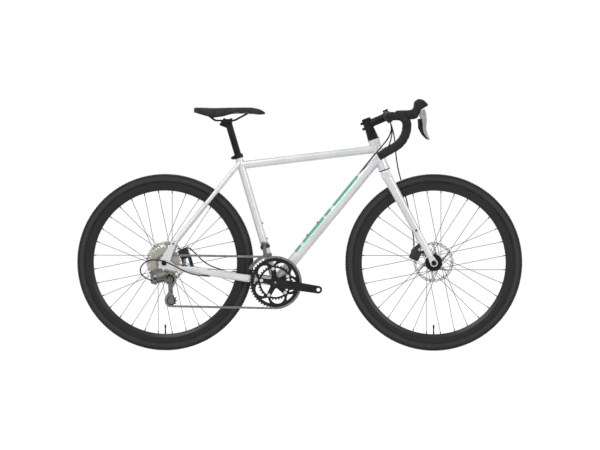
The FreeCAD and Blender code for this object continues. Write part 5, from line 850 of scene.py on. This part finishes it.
def make_housing(name, route, length, node, start_body, end_body, materials):
    """Cable housing on its route. One between two bodies rides on neither of them and stays where it is."""
    line = route_line(name, route)
    points = rings_along(line, HOUSING_SIDES, lambda travel, turn: HOUSING_DIAMETER / 2)
    faces = capped(len(line), HOUSING_SIDES)
    piece = make_piece(name, points, faces, materials["housing"], "black_plastic")
    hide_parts(node)
    ferrules = [make_ferrule(name + "_end_ferrule", line[::-1], end_body, materials)]
    if start_body == end_body:
        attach(piece, start_body)
    else:
        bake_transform(piece)
    if start_body == "frame":
        ferrules.append(make_ferrule(name + "_start_ferrule", line, start_body, materials))


# Eyelets

EYELET_PROFILE = ((-0.0010, 0.0026), (0.0008, 0.0026), (0.0008, 0.0044), (-0.0010, 0.0048))
EYELET_SIDES = 24
MM_PER_METRE = 1000


def make_eyelets(materials):
    """Dark ring at the mouth of each threaded eyelet, painted shade for the dark inside of the hole."""
    for mount in frame["record"]["mounts"]:
        if "eyelet" in mount["name"]:
            body = "steering" if "fork" in mount["name"] else "frame"
            axis = Vector(mount["axis"])
            half_length = mount["dims"]["length_mm"] / 2 / MM_PER_METRE
            mouth = Vector(mount["pos_m"]) + axis * half_length
            ring = lathe_ring(mouth, axis, EYELET_PROFILE, EYELET_SIDES)
            # Painted shade: a black ring stands for the shade inside the threaded hole.
            make_piece(mount["name"] + "_painted_shade_ring", *ring, materials["plastic"], "black_plastic", body)


# Stage and light

FLOOR_HALF = 30.0
FLOOR_COLOUR = (0.9, 0.9, 0.9, 1)
FLOOR_ROUGHNESS = 0.9
FLOOR_GLOW = 0.82
FLOOR_LIGHT = 1.12
ROOM_LIGHT = 0.55


def seen_rays(tree):
    """One for rays from the camera and for those that gloss or glass sends on."""
    path = add_node(tree, "ShaderNodeLightPath")
    gloss = combine(tree, "MAXIMUM", path.outputs["Is Camera Ray"], path.outputs["Is Glossy Ray"])
    return combine(tree, "MAXIMUM", gloss, path.outputs["Is Transmission Ray"])


def make_stage():
    """Pale floor that glows for the camera and still keeps the shadow."""
    corners = [(FLOOR_HALF * x, FLOOR_HALF * y, 0) for x, y in ((-1, -1), (1, -1), (1, 1), (-1, 1))]
    mesh = bpy.data.meshes.new("floor")
    mesh.from_pydata(corners, [], [(0, 1, 2, 3)])
    floor = bpy.data.objects.new("floor", mesh)
    bpy.context.scene.collection.objects.link(floor)
    material, tree, shader = new_material("pale_floor")
    shader.inputs["Base Color"].default_value = FLOOR_COLOUR
    shader.inputs["Roughness"].default_value = FLOOR_ROUGHNESS
    glow = add_node(tree, "ShaderNodeEmission")
    glow.inputs["Strength"].default_value = FLOOR_LIGHT
    mix = add_node(tree, "ShaderNodeMixShader")
    share = add_node(tree, "ShaderNodeMath", operation="MULTIPLY")
    share.inputs[1].default_value = FLOOR_GLOW
    tree.links.new(seen_rays(tree), share.inputs[0])
    tree.links.new(share.outputs["Value"], mix.inputs["Fac"])
    tree.links.new(shader.outputs["BSDF"], mix.inputs[1])
    tree.links.new(glow.outputs["Emission"], mix.inputs[2])
    tree.links.new(mix.outputs["Shader"], tree.nodes["Material Output"].inputs["Surface"])
    mesh.materials.append(material)


def make_room():
    world = bpy.data.worlds.new("room")
    bpy.context.scene.world = world
    world.use_nodes = True
    tree = world.node_tree
    background = tree.nodes["Background"]
    strength = add_node(tree, "ShaderNodeMapRange")
    strength.inputs["To Min"].default_value = ROOM_LIGHT
    strength.inputs["To Max"].default_value = 1.0
    tree.links.new(seen_rays(tree), strength.inputs["Value"])
    tree.links.new(strength.outputs["Result"], background.inputs["Strength"])
    background.inputs["Color"].default_value = (1, 1, 1, 1)


LAMP_AIM = Vector((0, 0, 0.5))
# Name, place, width in metres and power in watts.
LAMPS = (
    ("key_light", (-1.6, -2.6, 3.2), 2.4, 62.0),
    ("fill_light", (2.6, -2.2, 2.0), 2.0, 30.0),
    ("back_light", (0.4, 2.8, 2.6), 2.4, 40.0),
)


def make_lights():
    for name, place, size, power in LAMPS:
        lamp = bpy.data.lights.new(name, "AREA")
        lamp.shape = "DISK"
        lamp.size = size
        lamp.energy = power
        stand_facing(name, lamp, Vector(place), LAMP_AIM)


def main():
    bpy.context.scene.view_settings.view_transform = "Standard"
    make_camera()
    materials = make_materials()
    for housing in HOUSINGS:
        make_housing(*housing, materials)
    dress_nodes(materials)
    for name, axle in (("front", FRONT_AXLE), ("rear", REAR_AXLE)):
        make_casing(name + "_casing", axle, name + "_wheel", materials["rubber_" + name])
        make_tread(name + "_tread", axle, name + "_wheel", materials["rubber_" + name])
        make_valve(name + "_valve", axle, name + "_wheel", materials)
    make_tape(materials)
    make_saddle(materials)
    make_eyelets(materials)
    make_stage()
    make_room()
    make_lights()


main()
